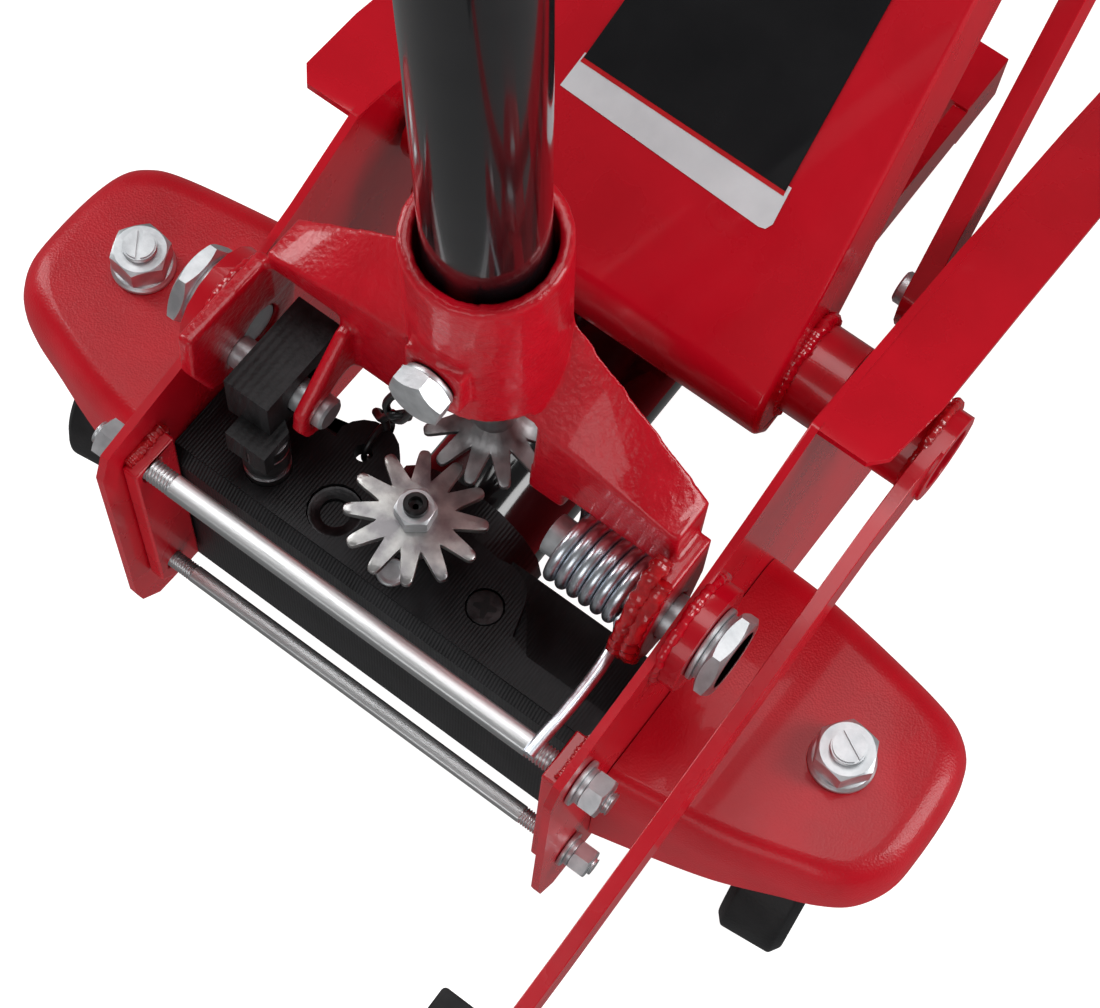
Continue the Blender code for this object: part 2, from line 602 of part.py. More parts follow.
def lift_arm():
    """A tapering channel, open below, on a cross tube with lugs that the ram's bars hold."""
    outline = arc((-10, 12.5), 16.0, 90, 180, 5)
    outline += [(-26, 2), (-14, -14), (8, -18), (300, -15)]
    outline += arc((ARM_LENGTH, 0), 15.0, -90, 90, 6)
    outline += [(300, 20)]
    arm = loft([arm_ring(outline, -1), arm_ring(outline, 1)])
    hollow = arc((-10, 12.5), 12.0, 90, 180, 5)
    hollow += [(-22, -40), (370, -40), (370, 40), (306, 40), (299, 16)]
    cut(arm, loft([arm_ring(hollow, -1, ARM_WALL), arm_ring(hollow, 1, ARM_WALL)]))
    join(arm, arm_rod((0, 0), -84, 84, 16.5))
    lug = arc((0, 0), 15.0, 0, 150, 6) + arc(LUG, 11.0, 180, 345, 6)
    for side in SIDES.values():
        low, high = sorted((side * 50.0, side * 56.0))
        join(arm, loft([[arm_point(u, v, y) for u, v in lug] for y in (low, high)]))
        low, high = sorted((side * 38.0, side * 53.0))
        join(arm, arm_rod(LUG, low, high, 6.0))
    cut(arm, arm_rod((0, 0), -90, 90, ARM_SHAFT_R + FIT), arm_rod((ARM_LENGTH, 0), -60, 60, 8.3))
    part("lift_arm", "red_paint", arm, (ARM_AXIS[0], 0, ARM_AXIS[1]))
    pin = arm_rod((ARM_LENGTH, 0), -36.5, 36.5, 8.0)
    part("saddle_pin", "dark_steel", pin, (SADDLE_AXIS[0], 0, SADDLE_AXIS[1]))


def saddle():
    x, z = SADDLE_AXIS
    outline = [(-12, -12), (8, -16), (38, -33), (60, -31), (67, -18), (58, -8), (46, 0), (46, 22)]
    outline += [(2, 22), (-13, 10)]
    bracket = prism([(x + a, z + b) for a, b in outline], -27.5, 27.5)
    link_at = (x + LINK_OFFSET[0], z + LINK_OFFSET[1])
    cut(
        bracket,
        y_hole(SADDLE_AXIS, 8.3),
        y_hole(link_at, 5.3),
        rod((x + SADDLE_X, 0, z), (0, 0, 1), -6, 30, 9.3),
    )
    part("saddle_bracket", "red_paint", bracket, (x, 0, z))
    profile = [(-5, 9), (22.4, 9), (22.6, 22), (27, 34), (38, 34), (38, 29), (33, 26), (33, 1)]
    cup = turned(profile, (x + SADDLE_X, 0, z), steps=24)
    part("saddle", "red_paint", cup, (x + SADDLE_X, 0, z))
    pin = y_disc(link_at, 5.0, -55, 27, 16)
    part("link_pin_front", "zinc", pin, (x, 0, z))


def levelling_link():
    """The bar that keeps the saddle level, outside the arm on the right."""
    rear = (ARM_AXIS[0] + LINK_OFFSET[0], ARM_AXIS[1] + LINK_OFFSET[1])
    outline = arc((0, 0), 12.0, 90, 270, 6) + arc((ARM_LENGTH, 0), 11.0, -90, 90, 6)
    rings = []
    for offset in (0.0, 8.0):
        ring = []
        for u, v in outline:
            x = rear[0] + u * cos(ARM_PITCH) - v * sin(ARM_PITCH)
            z = rear[1] + u * sin(ARM_PITCH) + v * cos(ARM_PITCH)
            ring.append((x, -77.0 + 34.0 * u / ARM_LENGTH - offset, z))
        rings.append(ring)
    link = loft(rings)
    front = (SADDLE_AXIS[0] + LINK_OFFSET[0], SADDLE_AXIS[1] + LINK_OFFSET[1])
    cut(link, y_hole(rear, 6.3), y_hole(front, 5.5))
    part("levelling_link", "red_paint", link, (rear[0], 0, rear[1]))
    part("link_pin_rear", "zinc", y_disc(rear, 6.0, -97, -73, 16))


def pedal():
    """The foot lever outside the right plate, welded to a boss that turns on the arm shaft."""
    pivot = (ARM_AXIS[0], 0, ARM_AXIS[1])
    outline = [(150, 34), (128, 39), (108, 38), (60, 27), (0, 14), (-45, 6), (-104, 2.5), (-106, 1)]
    outline += [(-106, -16), (-45, -14), (0, -6), (60, 7), (110, 15), (150, 8)]
    lever = prism(outline, -120.6, -115.6)
    join(lever, y_disc(ARM_AXIS, 16.0, -122.0, -91.0))
    cut(lever, y_hole(ARM_AXIS, ARM_SHAFT_R + FIT))
    part("pedal_lever", "red_paint", lever, pivot)
    tread = [(-110, -17), (-110, 4), (-107, 7), (-76, 9.5), (-76, 4.5), (-104.3, 2.9), (-106.4, 1.3)]
    tread.append((-106.4, -17))
    part("pedal_pad", "rubber", prism(tread, -143, -96), pivot)


def hook_ring():
    """The wire ring through the tab of the pump block."""
    centre, radius, wire = (58.5, 35.0, -18.5), 7.5, 1.1
    rings = []
    for i in range(16):
        angle = 2 * pi * i / 16
        ring = []
        for k in range(5):
            turn = 2 * pi * k / 5
            reach = radius + wire * cos(turn)
            at = Vector((reach * cos(angle), wire * sin(turn), reach * sin(angle)))
            ring.append(Vector(centre) + at)
        rings.append(ring)
    part("hook_ring", "dark_steel", loft(rings, looped=True))


def main():
    for obj in list(bpy.data.objects):
        bpy.data.objects.remove(obj)
    frame()
    yoke_bolts()
    torsion_spring()
    casters()
    front_wheels()
    pump_block()
    ram()
    pump()
    yoke()
    gears()
    handle()
    lift_arm()
    saddle()
    levelling_link()
    pedal()
    hook_ring()


main()
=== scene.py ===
"""The looks of the trolley jack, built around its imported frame.

Lengths in the functions below are in millimetres in part.py's own axes (X to the saddle end, Y to
the left, Z up, from the middle of the upper tie rod); TO_WORLD puts them in the frame, in metres.
"""

import json
from math import cos, pi, radians, sin, tan

import bmesh
import bpy
from mathutils import Matrix, Vector, noise


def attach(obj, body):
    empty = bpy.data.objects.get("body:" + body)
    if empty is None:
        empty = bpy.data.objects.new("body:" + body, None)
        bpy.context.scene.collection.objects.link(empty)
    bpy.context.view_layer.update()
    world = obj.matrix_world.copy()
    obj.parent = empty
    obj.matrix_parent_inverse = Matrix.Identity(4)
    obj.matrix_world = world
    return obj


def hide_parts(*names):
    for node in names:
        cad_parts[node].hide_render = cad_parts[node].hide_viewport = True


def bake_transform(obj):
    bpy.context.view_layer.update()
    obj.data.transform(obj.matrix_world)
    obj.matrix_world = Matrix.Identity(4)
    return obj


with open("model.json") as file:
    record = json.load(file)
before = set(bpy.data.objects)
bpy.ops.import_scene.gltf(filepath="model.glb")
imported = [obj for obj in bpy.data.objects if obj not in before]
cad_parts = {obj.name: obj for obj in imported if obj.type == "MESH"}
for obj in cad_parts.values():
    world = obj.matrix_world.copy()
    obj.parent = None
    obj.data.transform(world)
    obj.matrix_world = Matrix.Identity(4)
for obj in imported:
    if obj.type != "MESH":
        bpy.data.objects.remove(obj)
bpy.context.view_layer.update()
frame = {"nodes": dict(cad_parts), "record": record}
NODES = frame["nodes"]
BODY_OF = {n: body for body, ns in frame["record"]["behaviour"]["bodies"].items() for n in ns}
SLOT_OF = {entry["node"]: entry["material_slot"] for entry in frame["record"]["subparts"]}
MM = 0.001
TO_WORLD = Matrix.Scale(MM, 4) @ Matrix.Translation((-228.0, 0.0, 140.0))
SIDES = {"left": 1, "right": -1}

# Dimensions shared with part.py
PLATE_OUT, PAD_R = 89.5, 19.0
PLATE_FACE = PLATE_OUT + 0.3  # what lies against a plate stays this gap off it
LOWER_ROD_Z = -77.0
YOKE_AXIS = (55.0, 17.0)
ARM_AXIS = (150.0, 20.0)
FRONT_AXIS = (530.0, -104.0)
CYLINDER_Z = -50.0
TILT = radians(4.1)
HANDLE_FOOT = Vector((75.0, 0.0, 17.0))
HANDLE_DIR = Vector((-sin(TILT), 0.0, cos(TILT)))
VALVE_X = 34.0
PLUNGER = (28.7, 57.2)
PUMP_PIN = (44.0, 17.0)
ARM_PITCH = radians(33.4)
ARM_LENGTH, ARM_HALF, ARM_TAPER = 337.0, 67.0, 0.1
LINK_OFFSET = (54.0, -20.0)
SADDLE_X = 24.0
STUD = (69.3, 148.0)
HOUSING_TOP = -42.5
CASTER_TRAIL, CASTER_Z = 21.0, -112.0
CASTER_YAW = {1: radians(8.0), -1: radians(6.0)}


# ---- materials ----

SPECULAR, COAT_ROUGHNESS = 0.35, 0.06
TONE_DETAIL, BUMP_DETAIL, BUMP_DEPTH = 6.0, 4.0, 0.0006
TEXTURES = {
    "noise": "ShaderNodeTexNoise",
    "cells": "ShaderNodeTexVoronoi",
    "bands": "ShaderNodeTexWave",
    "rings": "ShaderNodeTexWave",
}


def grain(nodes, kind, scale):
    """The texture of one bump."""
    made = nodes.new(TEXTURES[kind])
    made.inputs["Scale"].default_value = scale
    if kind == "noise":
        made.inputs["Detail"].default_value = BUMP_DETAIL
    elif kind == "bands":
        made.bands_direction = "Y"
        made.inputs["Distortion"].default_value = 0.6
    elif kind == "rings":
        made.wave_type = "RINGS"
    return made


def look(name, light, dark, rough, patch, bumps, metallic=0.0, coat=0.0, stretch=(1, 1, 1)):
    """A paint or a metal: two tones in patches, a roughness between two values, and bumps.

    stretch scales the patches and bumps along X, Y and Z. A bump is (scale, strength, kind).
    """
    made = bpy.data.materials.new(name)
    made.use_nodes = True
    nodes, links = made.node_tree.nodes, made.node_tree.links
    shader = nodes["Principled BSDF"]
    shader.inputs["Metallic"].default_value = metallic
    shader.inputs["Coat Weight"].default_value = coat
    shader.inputs["Specular IOR Level"].default_value = SPECULAR
    shader.inputs["Coat Roughness"].default_value = COAT_ROUGHNESS
    place = nodes.new("ShaderNodeTexCoord")
    stretched = nodes.new("ShaderNodeMapping")
    stretched.inputs["Scale"].default_value = stretch
    links.new(place.outputs["Object"], stretched.inputs["Vector"])

    patches = nodes.new("ShaderNodeTexNoise")
    patches.inputs["Scale"].default_value = patch
    patches.inputs["Detail"].default_value = TONE_DETAIL
    links.new(stretched.outputs["Vector"], patches.inputs["Vector"])
    tones = nodes.new("ShaderNodeValToRGB")
    for stop, position, tone in zip(tones.color_ramp.elements, (0.35, 0.65), (dark, light)):
        stop.position = position
        stop.color = (*tone, 1.0)
    links.new(patches.outputs["Fac"], tones.inputs["Fac"])
    links.new(tones.outputs["Color"], shader.inputs["Base Color"])
    sheen = nodes.new("ShaderNodeMapRange")
    sheen.inputs["To Min"].default_value = rough[0]
    sheen.inputs["To Max"].default_value = rough[1]
    links.new(patches.outputs["Fac"], sheen.inputs["Value"])
    links.new(sheen.outputs["Result"], shader.inputs["Roughness"])

    normal = None
    for scale, strength, kind in bumps:
        texture = grain(nodes, kind, scale)
        links.new(stretched.outputs["Vector"], texture.inputs["Vector"])
        bump = nodes.new("ShaderNodeBump")
        bump.inputs["Strength"].default_value = strength
        bump.inputs["Distance"].default_value = BUMP_DEPTH
        height = "Distance" if kind == "cells" else "Fac"
        links.new(texture.outputs[height], bump.inputs["Height"])
        if normal is not None:
            links.new(normal, bump.inputs["Normal"])
        normal = bump.outputs["Normal"]
    links.new(normal, shader.inputs["Normal"])
    return made


RED = {"light": (0.54, 0.001, 0.012), "dark": (0.48, 0.001, 0.010)}
INK = {"light": (0.006, 0.006, 0.007), "dark": (0.004, 0.004, 0.005)}
FINISHES = {
    "red_plate": dict(RED, rough=(0.22, 0.34), coat=0.35, patch=35.0,
                      bumps=[(160.0, 0.10, "noise"), (900.0, 0.05, "noise")]),
    "red_cast": dict(RED, rough=(0.24, 0.36), coat=0.40, patch=90.0,
                     bumps=[(150.0, 0.9, "noise"), (480.0, 0.7, "noise")]),
    "red_housing": dict(RED, rough=(0.30, 0.42), coat=0.15, patch=60.0,
                        bumps=[(1300.0, 0.16, "cells"), (90.0, 0.10, "noise")]),
    "red_weld": dict(light=(0.52, 0.005, 0.009), dark=(0.30, 0.003, 0.006),
                     rough=(0.14, 0.30), coat=0.9, patch=220.0, bumps=[(330.0, 0.7, "noise")]),
    "red_fillet": dict(RED, rough=(0.16, 0.26), coat=0.7, patch=80.0, bumps=[(200.0, 0.30, "noise")]),
    "zinc": dict(light=(0.74, 0.76, 0.78), dark=(0.52, 0.54, 0.56), metallic=0.85,
                 rough=(0.34, 0.50), patch=130.0, bumps=[(700.0, 0.10, "noise")]),
    "zinc_rod": dict(light=(0.90, 0.91, 0.92), dark=(0.74, 0.75, 0.76), metallic=1.0,
                     rough=(0.32, 0.46), patch=60.0, stretch=(1.0, 0.06, 1.0),
                     bumps=[(900.0, 0.12, "noise")]),
    "zinc_spring": dict(light=(0.84, 0.90, 0.96), dark=(0.66, 0.71, 0.77), metallic=1.0,
                        rough=(0.26, 0.38), patch=260.0, bumps=[(600.0, 0.10, "noise")]),
    "zinc_gear": dict(light=(0.62, 0.62, 0.60), dark=(0.26, 0.25, 0.26), metallic=1.0,
                      rough=(0.30, 0.46), patch=110.0, bumps=[(500.0, 0.18, "noise")]),
    "steel_gear": dict(light=(0.56, 0.55, 0.56), dark=(0.25, 0.245, 0.25), metallic=1.0,
                       rough=(0.40, 0.56), patch=110.0, bumps=[(450.0, 0.20, "noise")]),
    "black_steel": dict(light=(0.05, 0.05, 0.052), dark=(0.015, 0.015, 0.016), metallic=0.7,
                        rough=(0.24, 0.40), patch=160.0, bumps=[(500.0, 0.15, "noise")]),
    "steel": dict(light=(0.42, 0.42, 0.43), dark=(0.20, 0.20, 0.21), metallic=1.0,
                  rough=(0.22, 0.40), patch=120.0, bumps=[(800.0, 0.12, "noise")]),
    "black_gloss": dict(INK, rough=(0.10, 0.16), coat=0.8, patch=40.0, bumps=[(60.0, 0.02, "noise")]),
    "black_block": dict(light=(0.020, 0.020, 0.022), dark=(0.009, 0.009, 0.010), metallic=0.35,
                        rough=(0.36, 0.52), patch=70.0,
                        bumps=[(260.0, 0.16, "bands"), (500.0, 0.12, "noise")]),
    "black_grain": dict(light=(0.030, 0.030, 0.032), dark=(0.014, 0.014, 0.015), metallic=0.25,
                        rough=(0.42, 0.60), patch=240.0, stretch=(1.0, 1.0, 0.25),
                        bumps=[(900.0, 0.30, "noise"), (140.0, 0.18, "rings")]),
    "wheel": dict(light=(0.016, 0.016, 0.017), dark=(0.008, 0.008, 0.009),
                  rough=(0.42, 0.60), patch=90.0, bumps=[(700.0, 0.25, "noise")]),
    "rubber": dict(light=(0.020, 0.020, 0.021), dark=(0.010, 0.010, 0.011),
                   rough=(0.60, 0.78), patch=120.0, bumps=[(450.0, 0.35, "noise")]),
    "label_black": dict(INK, rough=(0.22, 0.30), coat=0.3, patch=50.0, bumps=[(300.0, 0.04, "noise")]),
    "label_white": dict(light=(0.68, 0.69, 0.71), dark=(0.60, 0.61, 0.63),
                        rough=(0.28, 0.38), coat=0.3, patch=70.0, bumps=[(300.0, 0.05, "noise")]),
    "label_red": dict(light=(0.55, 0.01, 0.015), dark=(0.45, 0.008, 0.012),
                      rough=(0.24, 0.32), coat=0.3, patch=70.0, bumps=[(300.0, 0.05, "noise")]),
}
LOOKS = {name: look(name, **values) for name, values in FINISHES.items()}


# ---- shapes ----

MERGE_DISTANCE, FLAT_ANGLE = 3e-6, radians(0.8)


def loft(rings, looped=False):
    """A mesh through rings of equally many points, capped, or looped from the last ring to the first."""
    bm = bmesh.new()
    loops = [[bm.verts.new(TO_WORLD @ Vector(point)) for point in ring] for ring in rings]
    pairs = list(zip(loops, loops[1:]))
    if looped:
        pairs.append((loops[-1], loops[0]))
    for one, other in pairs:
        for i in range(len(one)):
            j = (i + 1) % len(one)
            bm.faces.new((one[i], one[j], other[j], other[i]))
    if not looped:
        bm.faces.new(loops[0][::-1])
        bm.faces.new(loops[-1])
    bmesh.ops.recalc_face_normals(bm, faces=bm.faces)
    return shape_of(bm)


def shape_of(bm):
    """A new object that holds the mesh."""
    mesh = bpy.data.meshes.new("shape")
    bm.to_mesh(mesh)
    bm.free()
    obj = bpy.data.objects.new("shape", mesh)
    bpy.context.scene.collection.objects.link(obj)
    return obj


def merged(*shapes):
    """One object that holds all the shapes."""
    bm = bmesh.new()
    for obj in shapes:
        bm.from_mesh(obj.data)
        bpy.data.objects.remove(obj)
    return shape_of(bm)


def across(axis):
    """The turn that takes Z to the axis."""
    return Vector((0, 0, 1)).rotation_difference(Vector(axis)).to_matrix()


def softened(profile, edge):
    """The profile with each inner corner cut back, so that a turned edge is rounded."""
    if not edge:
        return profile
    longest, least = 0.4, 1e-6  # of a side, and in millimetres
    points = [profile[0]]
    for before, here, after in zip(profile, profile[1:], profile[2:]):
        here, before, after = Vector(here), Vector(before), Vector(after)
        one, two = before - here, after - here
        back = min(edge, one.length * longest, two.length * longest)
        if back < least:
            continue
        start, end = here + one.normalized() * back, here + two.normalized() * back
        middle = (start + end) * 0.25 + here * 0.5
        points += [tuple(start), tuple(middle), tuple(end)]
    return points + [profile[-1]]


def turned(profile, centre, axis=(0, 0, 1), steps=64, bored=False, edge=0.0):
    """A shape turned about an axis, from (distance along it, radius) pairs. A bored one is a ring."""
    turn, centre = across(axis), Vector(centre)
    if bored and edge:
        profile = softened(profile + profile[:2], edge)[1:-1]
    else:
        profile = softened(profile, edge)
    angles = [2 * pi * i / steps for i in range(steps)]
    rings = []
    for along, radius in profile:
        rings.append([centre + turn @ Vector((radius * cos(a), radius * sin(a), along)) for a in angles])
    return loft(rings, looped=bored)


def y_turned(axis, profile, **more):
    """A shape turned about the line along Y that passes through (x, z)."""
    return turned(profile, (axis[0], 0.0, axis[1]), (0, 1, 0), **more)


def ring_profile(low, high, inner, outer):
    """The profile of a washer or a tube, for a bored shape."""
    return [(low, inner), (low, outer), (high, outer), (high, inner)]


def pin_profile(low, high, radius, chamfer):
    """The profile of a pin with both ends chamfered."""
    end = radius - chamfer
    return [(low, end), (low + chamfer, radius), (high - chamfer, radius), (high, end)]


def wheel_profile(half, middle):
    """The profile of a wheel from its lower half and its middle."""
    return half + [(2 * middle - along, radius) for along, radius in reversed(half)]


def hex_head(width, low, high, centre, axis=(0, 0, 1), phase=0.0):
    """A hexagon nut or head with its corners chamfered to a circle at both faces."""
    turn, centre, per_side = across(axis), Vector(centre), 8
    angles = [2 * pi * i / (6 * per_side) for i in range(6 * per_side)]
    flat = width * 0.5
    circle = flat * 0.965
    reach = [flat / cos((a % (pi / 3)) - pi / 6) for a in angles]
    drop = [tan(radians(30)) * (r - circle) for r in reach]

    def ring(radii, heights):
        return [
            centre + turn @ Vector((r * cos(a + phase), r * sin(a + phase), h))
            for a, r, h in zip(angles, radii, heights)
        ]

    rim = [circle] * len(angles)
    return loft([
        ring(rim, [low] * len(angles)),
        ring(reach, [low + d for d in drop]),
        ring(reach, [high - d for d in drop]),
        ring(rim, [high] * len(angles)),
    ])


def threaded(centre, axis, stretches, radius, pitch, steps=24):
    """A rod of plain and threaded stretches: (from, to, threaded) along its axis."""
    turn, centre = across(axis), Vector(centre)
    depth, steepness, per_pitch = 0.55 * pitch, 1.25, 6
    rings = []
    for low, high, has_thread in stretches:
        count = max(1, round((high - low) / (pitch / per_pitch))) if has_thread else 1
        for i in range(count + 1):
            along = low + (high - low) * i / count
            ring = []
            for k in range(steps):
                reach = radius
                if has_thread and 0 < i < count:
                    share = (along / pitch - k / steps) % 1.0
                    reach -= depth * max(0.0, 1 - steepness * abs(2 * share - 1))
                angle = 2 * pi * k / steps
                ring.append(centre + turn @ Vector((reach * cos(angle), reach * sin(angle), along)))
            rings.append(ring)
    return loft(rings)


def curve_through(points, per_span, closed=False):
    """A smooth curve through points, as a list of points."""
    points = [Vector(p) for p in points]
    count = len(points)
    result = []
    spans = count if closed else count - 1
    for i in range(spans):
        p0 = points[(i - 1) % count] if closed or i > 0 else points[0]
        p1, p2 = points[i], points[(i + 1) % count]
        p3 = points[(i + 2) % count] if closed or i + 2 < count else points[-1]
        for k in range(per_span):
            t = k / per_span
            result.append(
                0.5 * ((2 * p1) + (p2 - p0) * t + (2 * p0 - 5 * p1 + 4 * p2 - p3) * t * t
                       + (3 * p1 - p0 - 3 * p2 + p3) * t ** 3)
            )
    if not closed:
        result.append(points[-1])
    return result


def swept(path, radius, sides=16, closed=False):
    """A bar along a path. The radius is a number, or a function that gives a path point's radii."""
    points = [Vector(p) for p in path]
    count = len(points)
    rings = []
    normal = (points[1] - points[0]).orthogonal().normalized()
    for i, point in enumerate(points):
        before = points[i - 1] if closed or i > 0 else point
        after = points[(i + 1) % count] if closed or i + 1 < count else point
        ahead = (after - before).normalized()
        normal = (normal - ahead * normal.dot(ahead)).normalized()
        side = ahead.cross(normal)
        radii = radius(i) if callable(radius) else [radius] * sides
        ring = []
        for k in range(sides):
            angle = 2 * pi * k / sides
            ring.append(point + radii[k] * (normal * cos(angle) + side * sin(angle)))
        rings.append(ring)
    return loft(rings, looped=closed)


def bead(path, radius, closed=False):
    """A weld bead: a bar of uneven thickness with ripples across it."""
    points = curve_through(path, 10, closed)
    sides, ripple_length, ripple_size = 12, 4.0, 0.10
    lump_scale, lump_step, lump_size = 0.35, 0.5, 0.35

    def radii(i):
        ripple = ripple_size * sin(2 * pi * i / ripple_length)
        lumps = [noise.noise(points[i] * lump_scale + Vector((k * lump_step, 0, 0))) for k in range(sides)]
        return [radius * (1.0 + ripple + lump_size * lump) for lump in lumps]

    return swept(points, radii, sides, closed)


def ring_bead(axis, y, ring_r, radius):
    """A weld bead round the line along Y that passes through (x, z)."""
    count = 16
    angles = [2 * pi * i / count for i in range(count)]
    path = [(axis[0] + ring_r * cos(a), y, axis[1] + ring_r * sin(a)) for a in angles]
    return bead(path, radius, closed=True)


def smooth(obj, angle=32.0):
    """The shape shaded smooth, but for the edges sharper than the angle."""
    obj.data.shade_smooth()
    obj.data.set_sharp_from_angle(angle=radians(angle))
    return obj


def piece(name, obj, body, slot, finish, *nodes):
    """A finished piece: named, painted, riding its body and standing for its CAD nodes."""
    obj.name = name
    obj.data.name = name
    obj.data.materials.clear()
    obj.data.materials.append(LOOKS[finish])
    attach(obj, body)
    if nodes:
        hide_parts(*nodes)
    return obj


def stand_in(node, obj, finish, angle=32.0):
    """A piece that replaces one CAD node."""
    return piece(node + "_shape", smooth(obj, angle), BODY_OF[node], SLOT_OF[node], finish, node)


def copied(node):
    """The CAD node's shape as a new mesh, its flat faces made whole."""
    bm = bmesh.new()
    bm.from_mesh(NODES[node].data)
    bmesh.ops.remove_doubles(bm, verts=bm.verts, dist=MERGE_DISTANCE)
    bmesh.ops.dissolve_limit(bm, angle_limit=FLAT_ANGLE, verts=bm.verts, edges=bm.edges)
    return shape_of(bm)


def eased(node, finish, width, segments=2, angle=35.0):
    """The CAD node with its edges rounded."""
    obj = copied(node)
    bevel = obj.modifiers.new("edges", "BEVEL")
    bevel.width = width * MM
    bevel.segments = segments
    bevel.limit_method = "ANGLE"
    bevel.angle_limit = radians(angle)
    bevel.use_clamp_overlap = True
    bevel.miter_outer = "MITER_ARC"
    normals = obj.modifiers.new("normals", "WEIGHTED_NORMAL")
    normals.keep_sharp = True
    normals.weight = 80
    return stand_in(node, obj, finish, 40.0)


def applied(obj):
    """The object with its modifiers made part of its mesh."""
    graph = bpy.context.evaluated_depsgraph_get()
    mesh = bpy.data.meshes.new_from_object(obj.evaluated_get(graph))
    obj.modifiers.clear()
    obj.data = mesh
    return obj


def cast(node, finish, voxel, rounds, level):
    """The CAD node as a casting: level moves each point of its skin, then rounds of smoothing soften it."""
    obj = copied(node)
    remesh = obj.modifiers.new("skin", "REMESH")
    remesh.mode = "VOXEL"
    remesh.voxel_size = voxel * MM
    to_local = TO_WORLD.inverted()
    for vertex in applied(obj).data.vertices:
        vertex.co = TO_WORLD @ level(to_local @ vertex.co)
    soften = obj.modifiers.new("soften", "SMOOTH")
    soften.factor = 0.5
    soften.iterations = rounds
    applied(obj).data.shade_smooth()
    return piece(node + "_shape", obj, BODY_OF[node], SLOT_OF[node], finish, node)


def mirrored(obj, side):
    """The shape, mirrored to the right if side is -1."""
    if side < 0:
        obj.data.transform(Matrix.Scale(-1, 4, (0, 1, 0)))
        obj.data.flip_normals()
    return obj


def arm_point(u, v, y=0.0):
    """The point u along the arm from its shaft, v square to that and y to the left."""
    x = ARM_AXIS[0] + u * cos(ARM_PITCH) - v * sin(ARM_PITCH)
    z = ARM_AXIS[1] + u * sin(ARM_PITCH) + v * cos(ARM_PITCH)
    return Vector((x, y, z))


def on_arm(point):
    """The u and v of a point."""
    dx, dz = point.x - ARM_AXIS[0], point.z - ARM_AXIS[1]
    u = dx * cos(ARM_PITCH) + dz * sin(ARM_PITCH)
    v = -dx * sin(ARM_PITCH) + dz * cos(ARM_PITCH)
    return u, v


# ---- frame ----


def frame_pieces():
    """The side plates, the tie rods and their nuts, the front axle and the arm's shaft."""
    for word, side in SIDES.items():
        eased("side_plate_" + word, "red_plate", 0.9)
        eased("end_doubler_" + word, "red_plate", 1.0)
        stand_in("tie_nut_upper_" + word, tie_nut(side, 0.0, 4.0, 8.2, 13.0), "zinc", 20.0)
        stand_in("tie_nut_lower_" + word, tie_nut(side, LOWER_ROD_Z, 3.2, 6.6, 10.0), "zinc", 20.0)
    plain = 71.0
    for node, z, radius, pitch, reach in (
        ("tie_rod_upper", 0.0, 4.0, 1.25, 102.0),
        ("tie_rod_lower", LOWER_ROD_Z, 3.2, 1.0, 101.0),
    ):
        stretches = [(-reach, -plain, True), (-plain, plain, False), (plain, reach, True)]
        rod = threaded((0, 0, z), (0, 1, 0), stretches, radius, pitch)
        stand_in(node, rod, "zinc_rod", 50.0)
    stand_in("front_axle", y_turned(FRONT_AXIS, pin_profile(-130, 130, 8, 0.6)), "steel")
    stand_in("arm_shaft", y_turned(ARM_AXIS, [(-116, 10), (-115, 11), (96, 11), (97, 10)]), "steel")
    ring = y_turned(ARM_AXIS, ring_profile(89.8, 95.5, 11.3, 15), bored=True, edge=0.6)
    stand_in("shaft_ring", ring, "steel")


def tie_nut(side, z, rod_r, washer_r, width):
    """Flat washer, split spring washer and nut."""
    flat_end, split_end, nut_end = PLATE_FACE + 1.5, PLATE_FACE + 3.4, PLATE_FACE + 10.0
    flat = y_turned((0, z), ring_profile(PLATE_FACE, flat_end, rod_r, washer_r), bored=True, edge=0.3)
    split = y_turned((0, z), ring_profile(flat_end, split_end, rod_r, washer_r * 0.78), bored=True, edge=0.4)
    nut = hex_head(width, split_end, nut_end, (0, 0, z), (0, 1, 0), radians(15))
    return mirrored(merged(flat, split, nut), side)


def yoke_bolts():
    """The two bolts on which the yoke turns, with their washers, and the sleeve inside the spring."""
    centre = (YOKE_AXIS[0], 0, YOKE_AXIS[1])
    for word, side in SIDES.items():
        start = 80.1 if side > 0 else 74.0
        shapes = [
            y_turned(YOKE_AXIS, [(start, 7.4), (start + 0.6, 8.0), (98, 8.0)]),
            y_turned(YOKE_AXIS, ring_profile(97.3, 99.0, 8, 13), bored=True, edge=0.4),
            y_turned(YOKE_AXIS, ring_profile(99.0, 101.0, 8, 11.6), bored=True, edge=0.5),
            hex_head(27.0, 100.9, 106.6, centre, (0, 1, 0)),
            y_turned(YOKE_AXIS, [(106.0, 10.4), (106.6, 10.4), (106.6, 9.6)]),
        ]
        if side < 0:
            shapes.append(y_turned(YOKE_AXIS, [(37.0, 4.2), (38.0, 5.0), (75, 5.0)]))
        stand_in("yoke_bolt_" + word, mirrored(merged(*shapes), side), "zinc", 20.0)
    sleeve = y_turned(YOKE_AXIS, ring_profile(-72.5, -37.5, 5.3, 7.0), bored=True, edge=0.4)
    stand_in("spring_sleeve", sleeve, "zinc")


